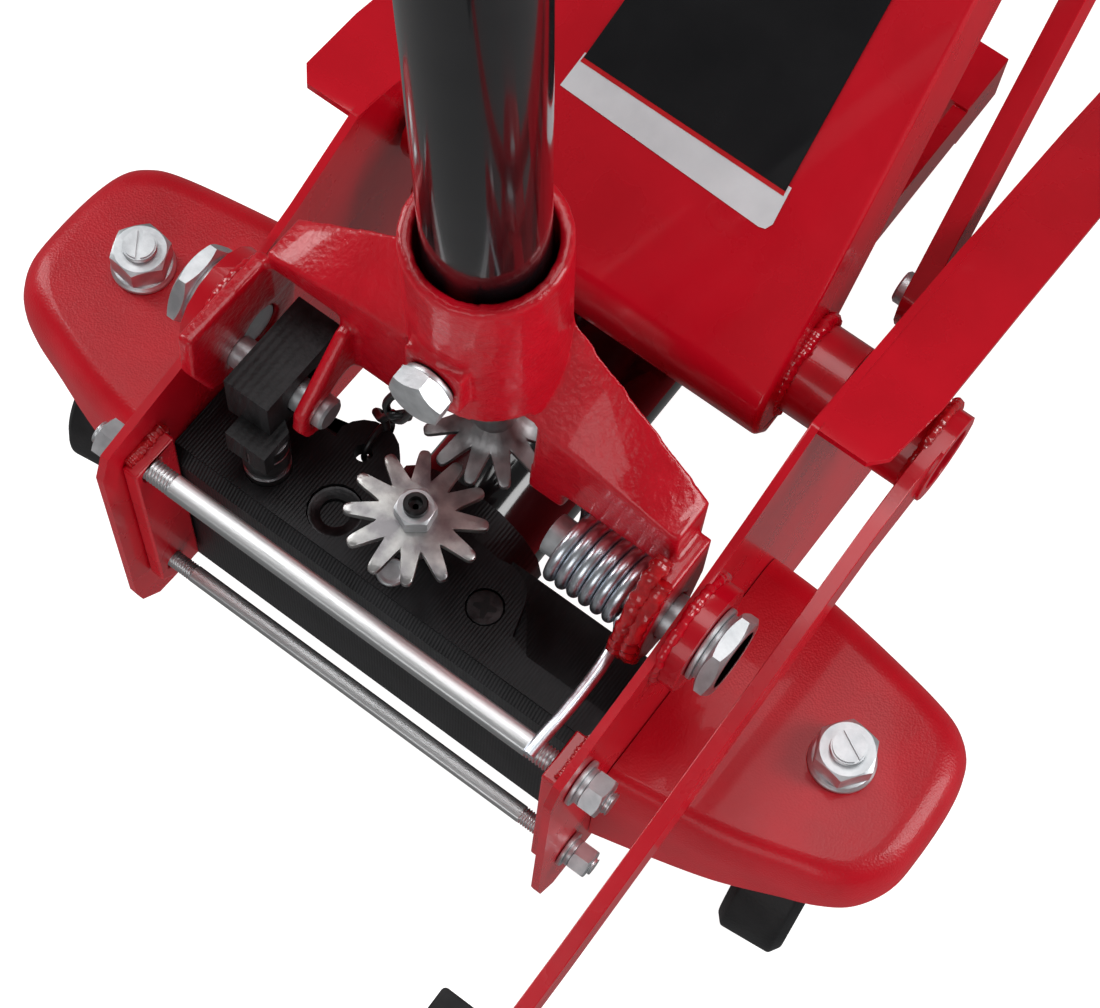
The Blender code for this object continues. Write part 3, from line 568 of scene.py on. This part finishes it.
def torsion_spring():
    """Close coils, a short leg up under the yoke's wing, and a long one bent down over the upper tie rod."""
    start, pitch, coil_r, wire_r, turns, per_turn = -42.6, 4.5, 11.3, 2.15, 6.5, 48
    coil_x = YOKE_AXIS[0] + coil_r
    path = [(coil_x + 0.6, start + 0.6, 29.0), (coil_x + 0.3, start + 0.4, 23.0)]
    for i in range(round(turns * per_turn) + 1):
        angle = 2 * pi * i / per_turn
        x = YOKE_AXIS[0] + coil_r * cos(angle)
        z = YOKE_AXIS[1] - coil_r * sin(angle)
        path.append((x, start - pitch * i / per_turn, z))
    leg_y = start - pitch * (turns + 0.5)
    leg = [
        path[-1], (42.4, leg_y + 1.4, 9.4), (37.0, leg_y + 0.6, 7.4), (30.0, leg_y, 7.0),
        (22.0, leg_y - 0.2, 7.3), (12.0, leg_y, 7.5), (4.0, leg_y + 0.6, 7.2), (-4.6, leg_y + 1, 6.6),
    ]
    path = path[:-1] + curve_through(leg, 5)
    stand_in("torsion_spring", swept(path, wire_r), "zinc_spring", 60.0)


# ---- casters ----

HOUSING_RIM = [
    (14, 90), (17, 112), (21, 135), (27, 155), (31, 168), (37, 178), (48, 184.5), (62, 186),
    (82, 185.5), (96, 182.5), (104, 176), (109, 165), (114, 140), (118, 112), (119, 90),
]
HOUSING_CROWN = [
    (22, 90), (26, 112), (31, 135), (37, 155), (40, 162), (44, 168), (52, 172.5), (64, 174),
    (79, 173.5), (90, 171), (95, 166), (98, 159), (102, 138), (106, 112), (107, 90),
]
RIM_LOW, RIM_RISE, OUTLINE_START = -98.0, 0.42, 90.0  # the rim rises away from the plate
HOUSING_DOME = [
    (0.92, -0.05), (0.80, -0.25), (0.64, -0.8), (0.48, -1.8), (0.33, -3.3), (0.20, -5.4),
    (0.10, -8.2), (0.04, -11.5), (0.01, -15.5),
]


def housing_ring(share, height, y_plate):
    """A ring of the housing, from the rim's outline at share 0 to the crown's at 1.

    The ring is level at the height, or follows the rim's slope if that is None.
    """
    rim = curve_through([(x, y, 0) for x, y in HOUSING_RIM], 6)
    crown = curve_through([(x, y, 0) for x, y in HOUSING_CROWN], 6)
    ring = []
    for k, (one, other) in enumerate(zip(rim, crown)):
        at = one.lerp(other, share)
        y = y_plate if k in (0, len(rim) - 1) else max(at.y, y_plate)
        rim_z = RIM_LOW + RIM_RISE * (one.y - OUTLINE_START)
        ring.append((at.x, y, rim_z if height is None else max(height, rim_z)))
    return ring


def casters():
    """The pressed housings, with their domed tops and hollow insides, and a caster under each."""
    for word, side in SIDES.items():
        rings = [housing_ring(1.0, HOUSING_TOP, PLATE_FACE)]
        rings += [housing_ring(share, HOUSING_TOP + drop, PLATE_FACE) for share, drop in HOUSING_DOME]
        rings += [
            housing_ring(0.0, None, PLATE_FACE),
            housing_ring(0.14, None, PLATE_FACE + 1.2),
            housing_ring(0.28, None, PLATE_FACE + 3.0),
            housing_ring(0.42, HOUSING_TOP - 12.5, PLATE_FACE + 3.0),
            housing_ring(0.75, HOUSING_TOP - 6.5, PLATE_FACE + 3.0),
            housing_ring(1.2, HOUSING_TOP - 3.0, PLATE_FACE + 3.0),
        ]
        stand_in("caster_housing_" + word, mirrored(loft(rings), side), "red_housing", 50.0)
        caster(word, side)


def slotted_end(at, turn):
    """The stud's end above the nut, as the two halves beside its slot."""
    radius, slot_half, steps = 5.5, 0.9, 12
    along = Vector((cos(turn), sin(turn), 0.0))
    beside = Vector((-sin(turn), cos(turn), 0.0))
    half = []
    for i in range(steps + 1):
        angle = -pi / 2 + pi * i / steps
        half.append((radius * sin(angle), max(radius * cos(angle), slot_half)))
    half[0], half[-1] = (-5.4, slot_half), (5.4, slot_half)
    halves = []
    for sign in (-1, 1):
        outline = [at + along * x + beside * sign * y for x, y in half]
        halves.append(loft([[point + Vector((0, 0, z)) for point in outline] for z in (-27.4, -26.4)]))
    return halves


def caster(word, side):
    """One caster: its stud and nut, fork, axle and wheel."""
    at = Vector((STUD[0], side * STUD[1], 0.0))
    washer = [
        (-45.9, 6.0), (-42.2, 6.0), (-42.2, 11.5), (-40.8, 11.5), (-40.2, 10.9), (-39.6, 10.5), (-39.2, 9),
    ]
    shapes = [
        turned([(-74, 8.4), (-73.4, 9), (-68.3, 9), (-68.3, 6), (-61, 6)], at),
        turned([(-61, 6), (-61, 17), (-46.4, 15), (-45.9, 14.4), (-45.9, 6)], at, edge=0.5),
        turned(washer, at, edge=0.3),
        hex_head(19.0, -39.6, -30.0, at, phase=radians(23)),
        *slotted_end(at, radians(35 if side > 0 else 62)),
        threaded(at, (0, 0, 1), [(-42.0, -27.2, True)], 6.0, 1.5, 32),
    ]
    stand_in("caster_stud_" + word, merged(*shapes), "zinc", 20.0)

    yaw = CASTER_YAW[side]
    ahead = Vector((cos(yaw), sin(yaw), 0.0))
    axle_dir = Vector((-sin(yaw), cos(yaw), 0.0))
    axle_at = Vector((at.x, at.y, CASTER_Z)) - CASTER_TRAIL * ahead
    eased("caster_fork_" + word, "zinc", 0.8)
    stem = turned([(-18.4, 3.6), (-18.4, 4.0), (18.4, 4.0), (19.0, 3.4)], axle_at, axle_dir)
    heads = [hex_head(7.6, low, high, axle_at, axle_dir) for low, high in ((-19.0, -16.4), (16.4, 19.0))]
    stand_in("caster_axle_" + word, merged(stem, *heads), "zinc", 20.0)
    half = [
        (-12.5, 4.3), (-12.5, 8.0), (-10.4, 9.0), (-10.4, 20.0), (-12.5, 21.6), (-12.5, 24.0), (-9.5, 28.0),
    ]
    wheel = turned(wheel_profile(half, 0.0), axle_at, axle_dir, 72, bored=True, edge=0.8)
    stand_in("caster_wheel_" + word, wheel, "wheel")


def front_wheels():
    """The two front wheels and the nuts that hold them on the axle."""
    half = [(91, 8.3), (91, 15), (94, 16.5), (94, 27), (91, 29), (91, 33), (94, 36)]
    for word, side in SIDES.items():
        wheel = y_turned(FRONT_AXIS, wheel_profile(half, 105.5), bored=True, edge=1.0, steps=96)
        stand_in("front_wheel_" + word, mirrored(wheel, side), "wheel")
        nut = hex_head(24.0, 121.0, 127.5, (FRONT_AXIS[0], 0, FRONT_AXIS[1]), (0, 1, 0))
        stand_in("axle_nut_" + word, mirrored(nut, side), "zinc", 20.0)


# ---- hydraulic unit ----


def star_rings(centre, arm, width, low, high):
    """The rings of a cross-shaped recess, narrower at its low end."""
    outline = []
    for k in range(4):
        angle = pi / 2 * k + radians(20)
        along = Vector((cos(angle), sin(angle), 0))
        side = Vector((-sin(angle), cos(angle), 0))
        outline += [
            along * width - side * width,
            along * arm - side * width * 0.5,
            along * arm + side * width * 0.5,
        ]
    rings = []
    for share, z in ((0.6, low), (1.0, high)):
        rings.append([Vector(centre) + point * share + Vector((0, 0, z)) for point in outline])
    return rings


def pump_pieces():
    """The pump block with its plugs and screw, the cylinder and ram, and the plunger with its link."""
    eased("pump_block", "black_block", 0.7)
    plug = [(-18.7, 5.2), (-15.4, 5.2), (-14.4, 4.4), (-14.9, 3.0), (-14.9, 1.0)]
    stand_in("block_plug", turned(plug, (23.5, 2, 0), edge=0.3), "zinc")
    ring = [(-18.7, 5.0), (-18.7, 9.1), (-16.2, 9.1), (-16.6, 7.6), (-17.2, 5.0)]
    stand_in("socket_plug", turned(ring, (29.3, 29.7, 0), bored=True, edge=0.3), "black_steel")
    screw_at = (32.3, -29.2, 0)
    head = turned([(-18.7, 6.2), (-15.6, 6.2), (-15.3, 5.8), (-15.3, 4.2)], screw_at)
    stand_in("block_screw", head, "black_steel")
    # A thin dark matt cross laid on the screw's head, a little proud of it: painted shade standing for the
    # cross recess, which is not cut.
    cross = loft(star_rings(screw_at, 3.9, 1.3, -15.6, -15.2))
    piece("block_screw_cross_shade", cross, "frame", "black_oxide", "rubber")
    axis = (1, 0, 0)
    centre = (0, 0, CYLINDER_Z)
    tube = [(64.3, 26), (249, 26), (250, 25), (250, 17), (112, 17)]
    stand_in("cylinder_tube", turned(tube, centre, axis), "black_gloss")
    gland = [(250.3, 12.4), (250.3, 27), (260, 27), (262, 25), (262, 12.4)]
    stand_in("cylinder_gland", turned(gland, centre, axis, bored=True, edge=0.5), "zinc")
    stand_in("ram_rod", turned([(185, 11.2), (186, 12), (311, 12), (311.7, 11.2)], centre, axis), "zinc")
    eased("ram_crosshead", "red_plate", 1.0)
    plunger = [
        (-66, 8), (-11.6, 8), (-11, 7.4), (-11, 7), (-8, 7), (-8, 7.4), (-7.4, 8), (0.6, 8), (1.2, 7.6),
        (1.8, 8), (7.6, 8),
    ]
    stand_in("plunger", turned(plunger, (*PLUNGER, 0)), "steel", 25.0)
    eased("pump_link", "black_grain", 1.0)


def hook_and_ring():
    """The ring in the block's tab, the wire loop round the set bolt, and the link that joins them."""
    centre, ring_r, count = Vector((58.5, 35.0, -18.5)), 7.5, 48
    angles = [2 * pi * i / count for i in range(count)]
    ring = swept([centre + ring_r * Vector((cos(a), 0.0, sin(a))) for a in angles], 1.1, 12, closed=True)
    stand_in("hook_ring", ring, "black_steel", 60.0)

    loop_x = 41.4
    loop = [
        (0, 105.3), (4.5, 103.6), (6.6, 99), (8.0, 88), (11.6, 78), (15.4, 68), (16.6, 61), (14.6, 57),
        (11.2, 58.4), (8.0, 67), (3.4, 79), (-2.6, 89), (-6.6, 99), (-4.5, 103.6),
    ]
    path = curve_through([(loop_x, y, z) for y, z in loop], 5, closed=True)
    wire = smooth(swept(path, 1.3, 12, closed=True), 60.0)
    piece("hook_loop", wire, "yoke", "black_oxide", "black_steel")

    low, high = Vector((57.6, 33.0, 2.4)), Vector((loop_x, 13.8, 60.5))
    hook = [
        low + Vector((0.4, -2.6, -5.6)),
        low + Vector((2.9, 1.2, -3.6)),
        low + Vector((1.0, 2.4, 1.0)),
        low.lerp(high, 0.12),
        low.lerp(high, 0.5),
        low.lerp(high, 0.9),
        high + Vector((-1.6, -0.6, 1.6)),
        high + Vector((1.0, -3.8, 2.6)),
        high + Vector((2.6, -3.4, -3.0)),
    ]
    link = smooth(swept(curve_through(hook, 8), 1.4, 12), 60.0)
    link.name = "hook_link"
    link.data.materials.append(LOOKS["black_steel"])
    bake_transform(link)


# ---- yoke, handle and valve ----


WING_REAR, WING_FRONT, WING_TAPER = 61.0, 84.0, 0.08
WING_SPAN = (14.0, 1.5)  # from the middle, and short of the ends
WING_MARGIN, WING_REACH = 0.4, 6.5  # inside the wing's outline, and up or down to its top


def wing_top(point):
    """Evens out the tops of the yoke's wings, whose sections twist between the socket and the ends."""
    y = abs(point.y)
    end = 79.2 if point.y > 0 else 77.0
    front = WING_FRONT - WING_TAPER * y
    across_wing = WING_REAR + WING_MARGIN < point.x < front - WING_MARGIN
    if not (WING_SPAN[0] < y < end - WING_SPAN[1] and across_wing):
        return point
    sections = [(10.0, 68.0, 108.0), (40.0, 64.0, 84.0), (end, 56.0, 56.0)]  # y, rear top, front top
    one, other = sections[:2] if y < sections[1][0] else sections[1:]
    share = (y - one[0]) / (other[0] - one[0])
    back = one[1] + (other[1] - one[1]) * share
    high = one[2] + (other[2] - one[2]) * share
    top = back + (high - back) * (point.x - WING_REAR) / (front - WING_REAR)
    if abs(point.z - top) < WING_REACH:
        point.z = top
    return point


def yoke_pieces():
    """The cast socket with its wings, the set bolt in its rear and the pin through the pump's link."""
    cast("handle_socket", "red_cast", 1.1, 6, wing_top)
    centre, axis = (0, 0, 99), (1, 0, 0)
    head = hex_head(17.0, 33.0, 39.6, centre, axis, radians(10))
    washer = turned(ring_profile(39.4, 41.2, 5, 8.3), centre, axis, bored=True, edge=0.4)
    shank = threaded(centre, axis, [(39.0, 50.6, True)], 5.0, 1.5)
    stand_in("set_bolt", merged(head, washer, shank), "zinc", 20.0)
    pin = y_turned(PUMP_PIN, [(41.5, 4.9), (42.4, 5.75), (79.0, 5.75), (79.6, 5.2)])
    stand_in("pump_pin", pin, "zinc", 20.0)


GEAR_TEETH, GEAR_TIP, GEAR_THICK, GEAR_CONE_R = 12, 23.0, 2.5, 14.0
GEAR_SHARES = [0.0, 0.15, 0.3, 0.45, 0.6, 0.75, 0.88, 1.0]
GEAR_EDGE = [(0.12, GEAR_THICK - 0.16), (0.0, GEAR_THICK - 0.5), (0.0, 0.5), (0.12, 0.16)]
TOOTH_FLANK = [
    (12.7, -15), (12.75, -14.4), (13.0, -13.7), (13.7, -12.5), (15.2, -10.4), (17.2, -8.4), (19.4, -6.7),
    (21.2, -5.4), (22.2, -4.4), (22.8, -2.9), (GEAR_TIP, -1.4), (GEAR_TIP, 0),
]  # radius, and degrees from the tooth's middle


def gear(foot, axis, phase, rise, rim, cone=0.0, bore=3.2):
    """A pressed gear: a dish with round-ended fingers, its tips rim from its foot, its middle a cone."""
    tooth = TOOTH_FLANK + [(radius, -degrees) for radius, degrees in reversed(TOOTH_FLANK[1:-1])]
    around = []
    for k in range(GEAR_TEETH):
        middle = phase + 2 * pi * k / GEAR_TEETH
        around += [(middle + radians(degrees), radius) for radius, degrees in tooth]
    turn, foot = across(axis), Vector(foot)

    def ring(share, back, level):
        points = []
        for angle, far in around:
            r = bore + (far - back - bore) * share
            peak = cone * max(0.0, GEAR_CONE_R - r) ** 2 / GEAR_CONE_R
            dish = rise * (1 - (r / GEAR_TIP) ** 2) + rim + peak
            points.append(foot + turn @ Vector((r * cos(angle), r * sin(angle), level + dish)))
        return points

    top = [ring(share, 0.45, GEAR_THICK) for share in GEAR_SHARES]
    edge = [ring(1.0, back, level) for back, level in GEAR_EDGE]
    bottom = [ring(share, 0.45, 0.0) for share in reversed(GEAR_SHARES)]
    return loft(top + edge + bottom, looped=True)


def gears():
    """The release gear with its valve stem, nut and screw, and the gear at the handle's foot."""
    stand_in("release_gear", gear((VALVE_X, 0, 12.5), (0, 0, 1), 0.0, 1.8, -0.6), "zinc_gear", 38.0)
    at = (VALVE_X, 0, 0)
    stem = turned([(-60, 3), (8, 3), (8, 6), (12.2, 6), (12.2, 3)], at)
    nut = hex_head(12.0, 15.6, 22.4, at, phase=radians(8))
    stand_in("release_valve", merged(stem, nut), "zinc", 20.0)
    socket = [(15.0, 3.9), (24.6, 4.0), (25.2, 3.5), (25.2, 2.3), (22.6, 2.1), (22.4, 1.0)]
    screw = turned(socket, at, steps=32)
    piece("valve_screw", smooth(screw), "valve", "dark_steel", "black_steel")
    driver = gear(HANDLE_FOOT, HANDLE_DIR, pi + pi / GEAR_TEETH, 3.5, -3.5, 1.6, bore=6.0)
    hub = [(0.0, 5.6), (0.4, 7.6), (10, 7.6), (20, 7.4), (40, 6.8), (63.2, 6.8)]
    stand_in("handle_gear", merged(driver, turned(hub, HANDLE_FOOT, HANDLE_DIR)), "steel_gear", 38.0)


def handle():
    """The two tubes and the ribbed grip."""
    lower = [(63.7, 17.0), (64.7, 18.0), (519, 18.0), (520, 17.0), (520, 15.7), (500, 15.7)]
    upper = ring_profile(430, 950, 13.0, 15.4)
    stand_in("handle_lower", turned(lower, HANDLE_FOOT, HANDLE_DIR, 96), "black_gloss")
    stand_in("handle_upper", turned(upper, HANDLE_FOOT, HANDLE_DIR, 96, bored=True), "black_gloss")
    ribs, first_rib, rib_pitch, rib_r, groove_r = 12, 838, 9.0, 19.5, 18.6
    grip = [(951, 1), (951, 15.7), (830, 15.7), (830, 18.0), (832, 19.0)]
    for i in range(ribs):
        base = first_rib + i * rib_pitch
        grip += [(base, rib_r), (base + 5.6, rib_r), (base + 6.4, groove_r), (base + 8.2, groove_r)]
    grip += [(950, rib_r), (956, 18.2), (958, 15.5)]
    stand_in("handle_grip", turned(grip, HANDLE_FOOT, HANDLE_DIR, 72), "rubber")


# ---- lift arm ----


ARM_ROLL, ARM_EDGE_SHARE = 7.5, 0.12  # the rolled edges' bevel, and the share of it on the other edges
ARM_TOP, ARM_TOP_FALL, ARM_TOP_START, ARM_TOP_LENGTH = 28.5, 8.5, -10.0, 310.0


def arm_side(u):
    """How far the arm's sides stand from its middle."""
    return ARM_HALF - ARM_TAPER * u


def lift_arm():
    """The pressed channel with rolled edges, its cross tube and lugs, all as one painted weldment."""
    shape = copied("lift_arm")
    bm = bmesh.new()
    bm.from_mesh(shape.data)
    weights = bm.edges.layers.float.new("bevel_weight_edge")
    to_local = TO_WORLD.inverted()
    for edge in bm.edges:
        if len(edge.link_faces) != 2 or edge.calc_face_angle(0.0) < radians(40):
            continue
        middle = to_local @ ((edge.verts[0].co + edge.verts[1].co) / 2)
        u, v = on_arm(middle)
        outer = abs(abs(middle.y) - arm_side(u)) < 0.6
        rolled = outer and (v > 19.0 or u < -12.0)
        edge[weights] = 1.0 if rolled else ARM_EDGE_SHARE
    bm.to_mesh(shape.data)
    bm.free()
    bevel = shape.modifiers.new("edges", "BEVEL")
    bevel.width = ARM_ROLL * MM
    bevel.segments = 5
    bevel.limit_method = "WEIGHT"
    bevel.use_clamp_overlap = True
    normals = shape.modifiers.new("normals", "WEIGHTED_NORMAL")
    normals.keep_sharp = True
    stand_in("lift_arm", shape, "red_plate", 50.0)
    pin = turned([(-36.5, 7.2), (-35.5, 8), (35.5, 8), (36.5, 7.2)], arm_point(ARM_LENGTH, 0), (0, 1, 0))
    stand_in("saddle_pin", pin, "steel")


def label_sheet(name, finish, outline, height, thick=0.12):
    """A thin sheet on the arm's top, from (u, y) points."""
    rings = []
    for rise in (height, height + thick):
        ring = []
        for u, y in outline:
            top = ARM_TOP - ARM_TOP_FALL * (u - ARM_TOP_START) / ARM_TOP_LENGTH
            ring.append(arm_point(u, top + rise, y))
        rings.append(ring)
    return piece(name, loft(rings), "arm", "red_paint", finish)


def label():
    """The arm's label: a white strip, a red line and a black field, one over the other."""
    strip = [(33.7, 42.3), (31.0, -36.0), (31.6, -38.2), (34.0, -39.4), (46.5, -38.2), (46.5, 41.0)]
    label_sheet("label_strip", "label_white", strip, 0.10)
    line = [(43.4, 40.8), (43.0, -37.4), (48.0, -36.9), (48.0, 40.2)]
    label_sheet("label_line", "label_red", line, 0.24)
    field = [(45.0, 40.4), (44.6, -37.2), (283.0, -20.5), (283.0, 24.2)]
    label_sheet("label_field", "label_black", field, 0.38)


def saddle():
    """The saddle on its bracket, and the levelling link's front pin."""
    eased("saddle_bracket", "red_plate", 2.0, 3)
    x, _, z = arm_point(ARM_LENGTH, 0)
    cup = [(-5, 9), (22.4, 9), (22.6, 22), (27, 34), (38, 34), (38, 29), (33, 26), (33, 1)]
    stand_in("saddle", turned(cup, (x + SADDLE_X, 0, z), steps=72, edge=1.0), "red_cast")
    link_at = (x + LINK_OFFSET[0], z + LINK_OFFSET[1])
    stand_in("link_pin_front", y_turned(link_at, pin_profile(-55, 27, 5, 0.6)), "zinc")


def levers():
    """The levelling link with its rear pin, and the foot pedal."""
    eased("levelling_link", "red_plate", 1.6, 3)
    rear = (ARM_AXIS[0] + LINK_OFFSET[0], ARM_AXIS[1] + LINK_OFFSET[1])
    stand_in("link_pin_rear", y_turned(rear, pin_profile(-97, -73, 6, 0.8)), "zinc")
    eased("pedal_lever", "red_plate", 1.2, 3)
    eased("pedal_pad", "rubber", 1.5, 3)


def weld(name, body, finish, *beads):
    """A weld of one bead or more, riding one body."""
    shape = merged(*beads) if len(beads) > 1 else beads[0]
    piece(name, smooth(shape, 60.0), body, "red_paint", finish)


def welds():
    """Beads where the real pieces are welded, each riding the body it is on."""
    for word, side in SIDES.items():
        pad = ring_bead(YOKE_AXIS, side * (PLATE_OUT + 0.4), PAD_R + 0.2, 1.7)
        weld("weld_pad_" + word, "frame", "red_fillet", pad)
        y = side * 85.6
        edge = bead([(12.0, y, z) for z in (-88, -74, -60, -46, -32, -18, -4, 3)], 1.9)
        weld("weld_doubler_" + word, "frame", "red_weld", edge)
        top = bead([(x, y, 5.6) for x in (-5, -1, 3, 7, 11)], 2.1)
        weld("weld_doubler_top_" + word, "frame", "red_weld", top)
        tube = ring_bead(ARM_AXIS, side * (arm_side(0) + 0.3), 17.2, 2.2)
        weld("weld_arm_tube_" + word, "arm", "red_fillet", tube)
    weld("weld_pedal", "pedal", "red_weld", ring_bead(ARM_AXIS, -115.2, 16.8, 1.7))
    lug = [
        (58, -75.6, 47), (50.5, -75.6, 44.5), (44.5, -75.4, 36), (39.8, -75.4, 26), (37.8, -75.4, 15),
        (41.5, -75.6, 5),
    ]
    edge = [(52, -79.6, 45.5), (45.5, -79.4, 38), (39.4, -79.2, 27), (37.6, -79.4, 16), (40.6, -79.6, 7)]
    under = [(40, -75.2, 26), (45, -75.0, 30), (52, -75.0, 31.5), (60, -75.0, 31.5), (68, -75.0, 31.0)]
    weld("weld_lug", "yoke", "red_weld", bead(lug, 2.9), bead(edge, 2.6), bead(under, 2.2))


# ---- studio ----


CAMERA_AT, CAMERA_LENS = Vector((-0.42894, -0.18677, 0.87682)), 81.85
CAMERA_YAW, CAMERA_PITCH, CAMERA_ROLL = radians(30.594), radians(66.997), radians(6.5685)
FLOOR_HALF, FLOOR_DROP, FLOOR_TONE, FLOOR_ROUGHNESS, FLOOR_GLOW = 60.0, 0.0005, 0.45, 0.9, 1.0
WORLD_STRENGTH = 0.14
SOFTBOXES = (  # name, place, what it faces, size in metres, watts
    ("softbox_left", (-0.1, 1.6, 1.3), (0.0, 0.0, 0.2), (0.5, 1.6), 17.0),
    ("softbox_right", (0.5, -1.5, 1.2), (0.0, 0.0, 0.2), (0.5, 1.6), 20.0),
    ("softbox_top", (0.3, 0.2, 2.2), (0.0, 0.0, 0.0), (1.0, 1.0), 11.0),
    ("softbox_rear", (-1.7, -0.3, 1.0), (0.0, 0.0, 0.1), (1.2, 0.8), 6.0),
)


def camera():
    """The photograph's view: from above the jack's rear, looking ahead and down, a little rolled."""
    ahead = Vector((
        cos(CAMERA_YAW) * cos(CAMERA_PITCH),
        sin(CAMERA_YAW) * cos(CAMERA_PITCH),
        -sin(CAMERA_PITCH),
    ))
    right = Vector((sin(CAMERA_YAW), -cos(CAMERA_YAW), 0.0))
    up = right.cross(ahead)
    rolled_right = cos(CAMERA_ROLL) * right + sin(CAMERA_ROLL) * up
    rolled_up = -sin(CAMERA_ROLL) * right + cos(CAMERA_ROLL) * up
    lens = bpy.data.cameras.new("camera")
    lens.lens = CAMERA_LENS
    lens.sensor_width = 36.0
    lens.clip_start = 0.01
    obj = bpy.data.objects.new("camera", lens)
    bpy.context.scene.collection.objects.link(obj)
    place = Matrix((rolled_right, rolled_up, -ahead)).transposed().to_4x4()
    place.translation = CAMERA_AT
    obj.matrix_world = place
    bpy.context.scene.camera = obj


def floor():
    """A pale floor that also gives light, so that the shadows on it stay faint."""
    bm = bmesh.new()
    bmesh.ops.create_grid(bm, x_segments=1, y_segments=1, size=FLOOR_HALF)
    obj = shape_of(bm)
    obj.name = "floor"
    obj.location = (0.0, 0.0, -FLOOR_DROP)
    pale = bpy.data.materials.new("floor")
    pale.use_nodes = True
    shader = pale.node_tree.nodes["Principled BSDF"]
    shader.inputs["Base Color"].default_value = (FLOOR_TONE, FLOOR_TONE, FLOOR_TONE, 1.0)
    shader.inputs["Roughness"].default_value = FLOOR_ROUGHNESS
    shader.inputs["Emission Color"].default_value = (1.0, 1.0, 1.0, 1.0)
    shader.inputs["Emission Strength"].default_value = FLOOR_GLOW
    obj.data.materials.append(pale)
    obj.visible_glossy = False


def softbox(name, at, target, size, power):
    """A rectangular light that faces its target."""
    light = bpy.data.lights.new(name, "AREA")
    light.shape = "RECTANGLE"
    light.size, light.size_y = size
    light.energy = power
    obj = bpy.data.objects.new(name, light)
    bpy.context.scene.collection.objects.link(obj)
    aim = Vector(target) - Vector(at)
    obj.matrix_world = Matrix.Translation(at) @ aim.to_track_quat("-Z", "Y").to_matrix().to_4x4()


def studio():
    """The camera, the floor and the lights."""
    bpy.context.scene.view_settings.view_transform = "Standard"
    camera()
    floor()
    world = bpy.data.worlds.new("world")
    bpy.context.scene.world = world
    world.use_nodes = True
    sky = world.node_tree.nodes["Background"]
    sky.inputs["Color"].default_value = (1.0, 1.0, 1.0, 1.0)
    sky.inputs["Strength"].default_value = WORLD_STRENGTH
    for box in SOFTBOXES:
        softbox(*box)


frame_pieces()
yoke_bolts()
torsion_spring()
casters()
front_wheels()
pump_pieces()
hook_and_ring()
yoke_pieces()
gears()
handle()
lift_arm()
label()
saddle()
levers()
welds()
studio()
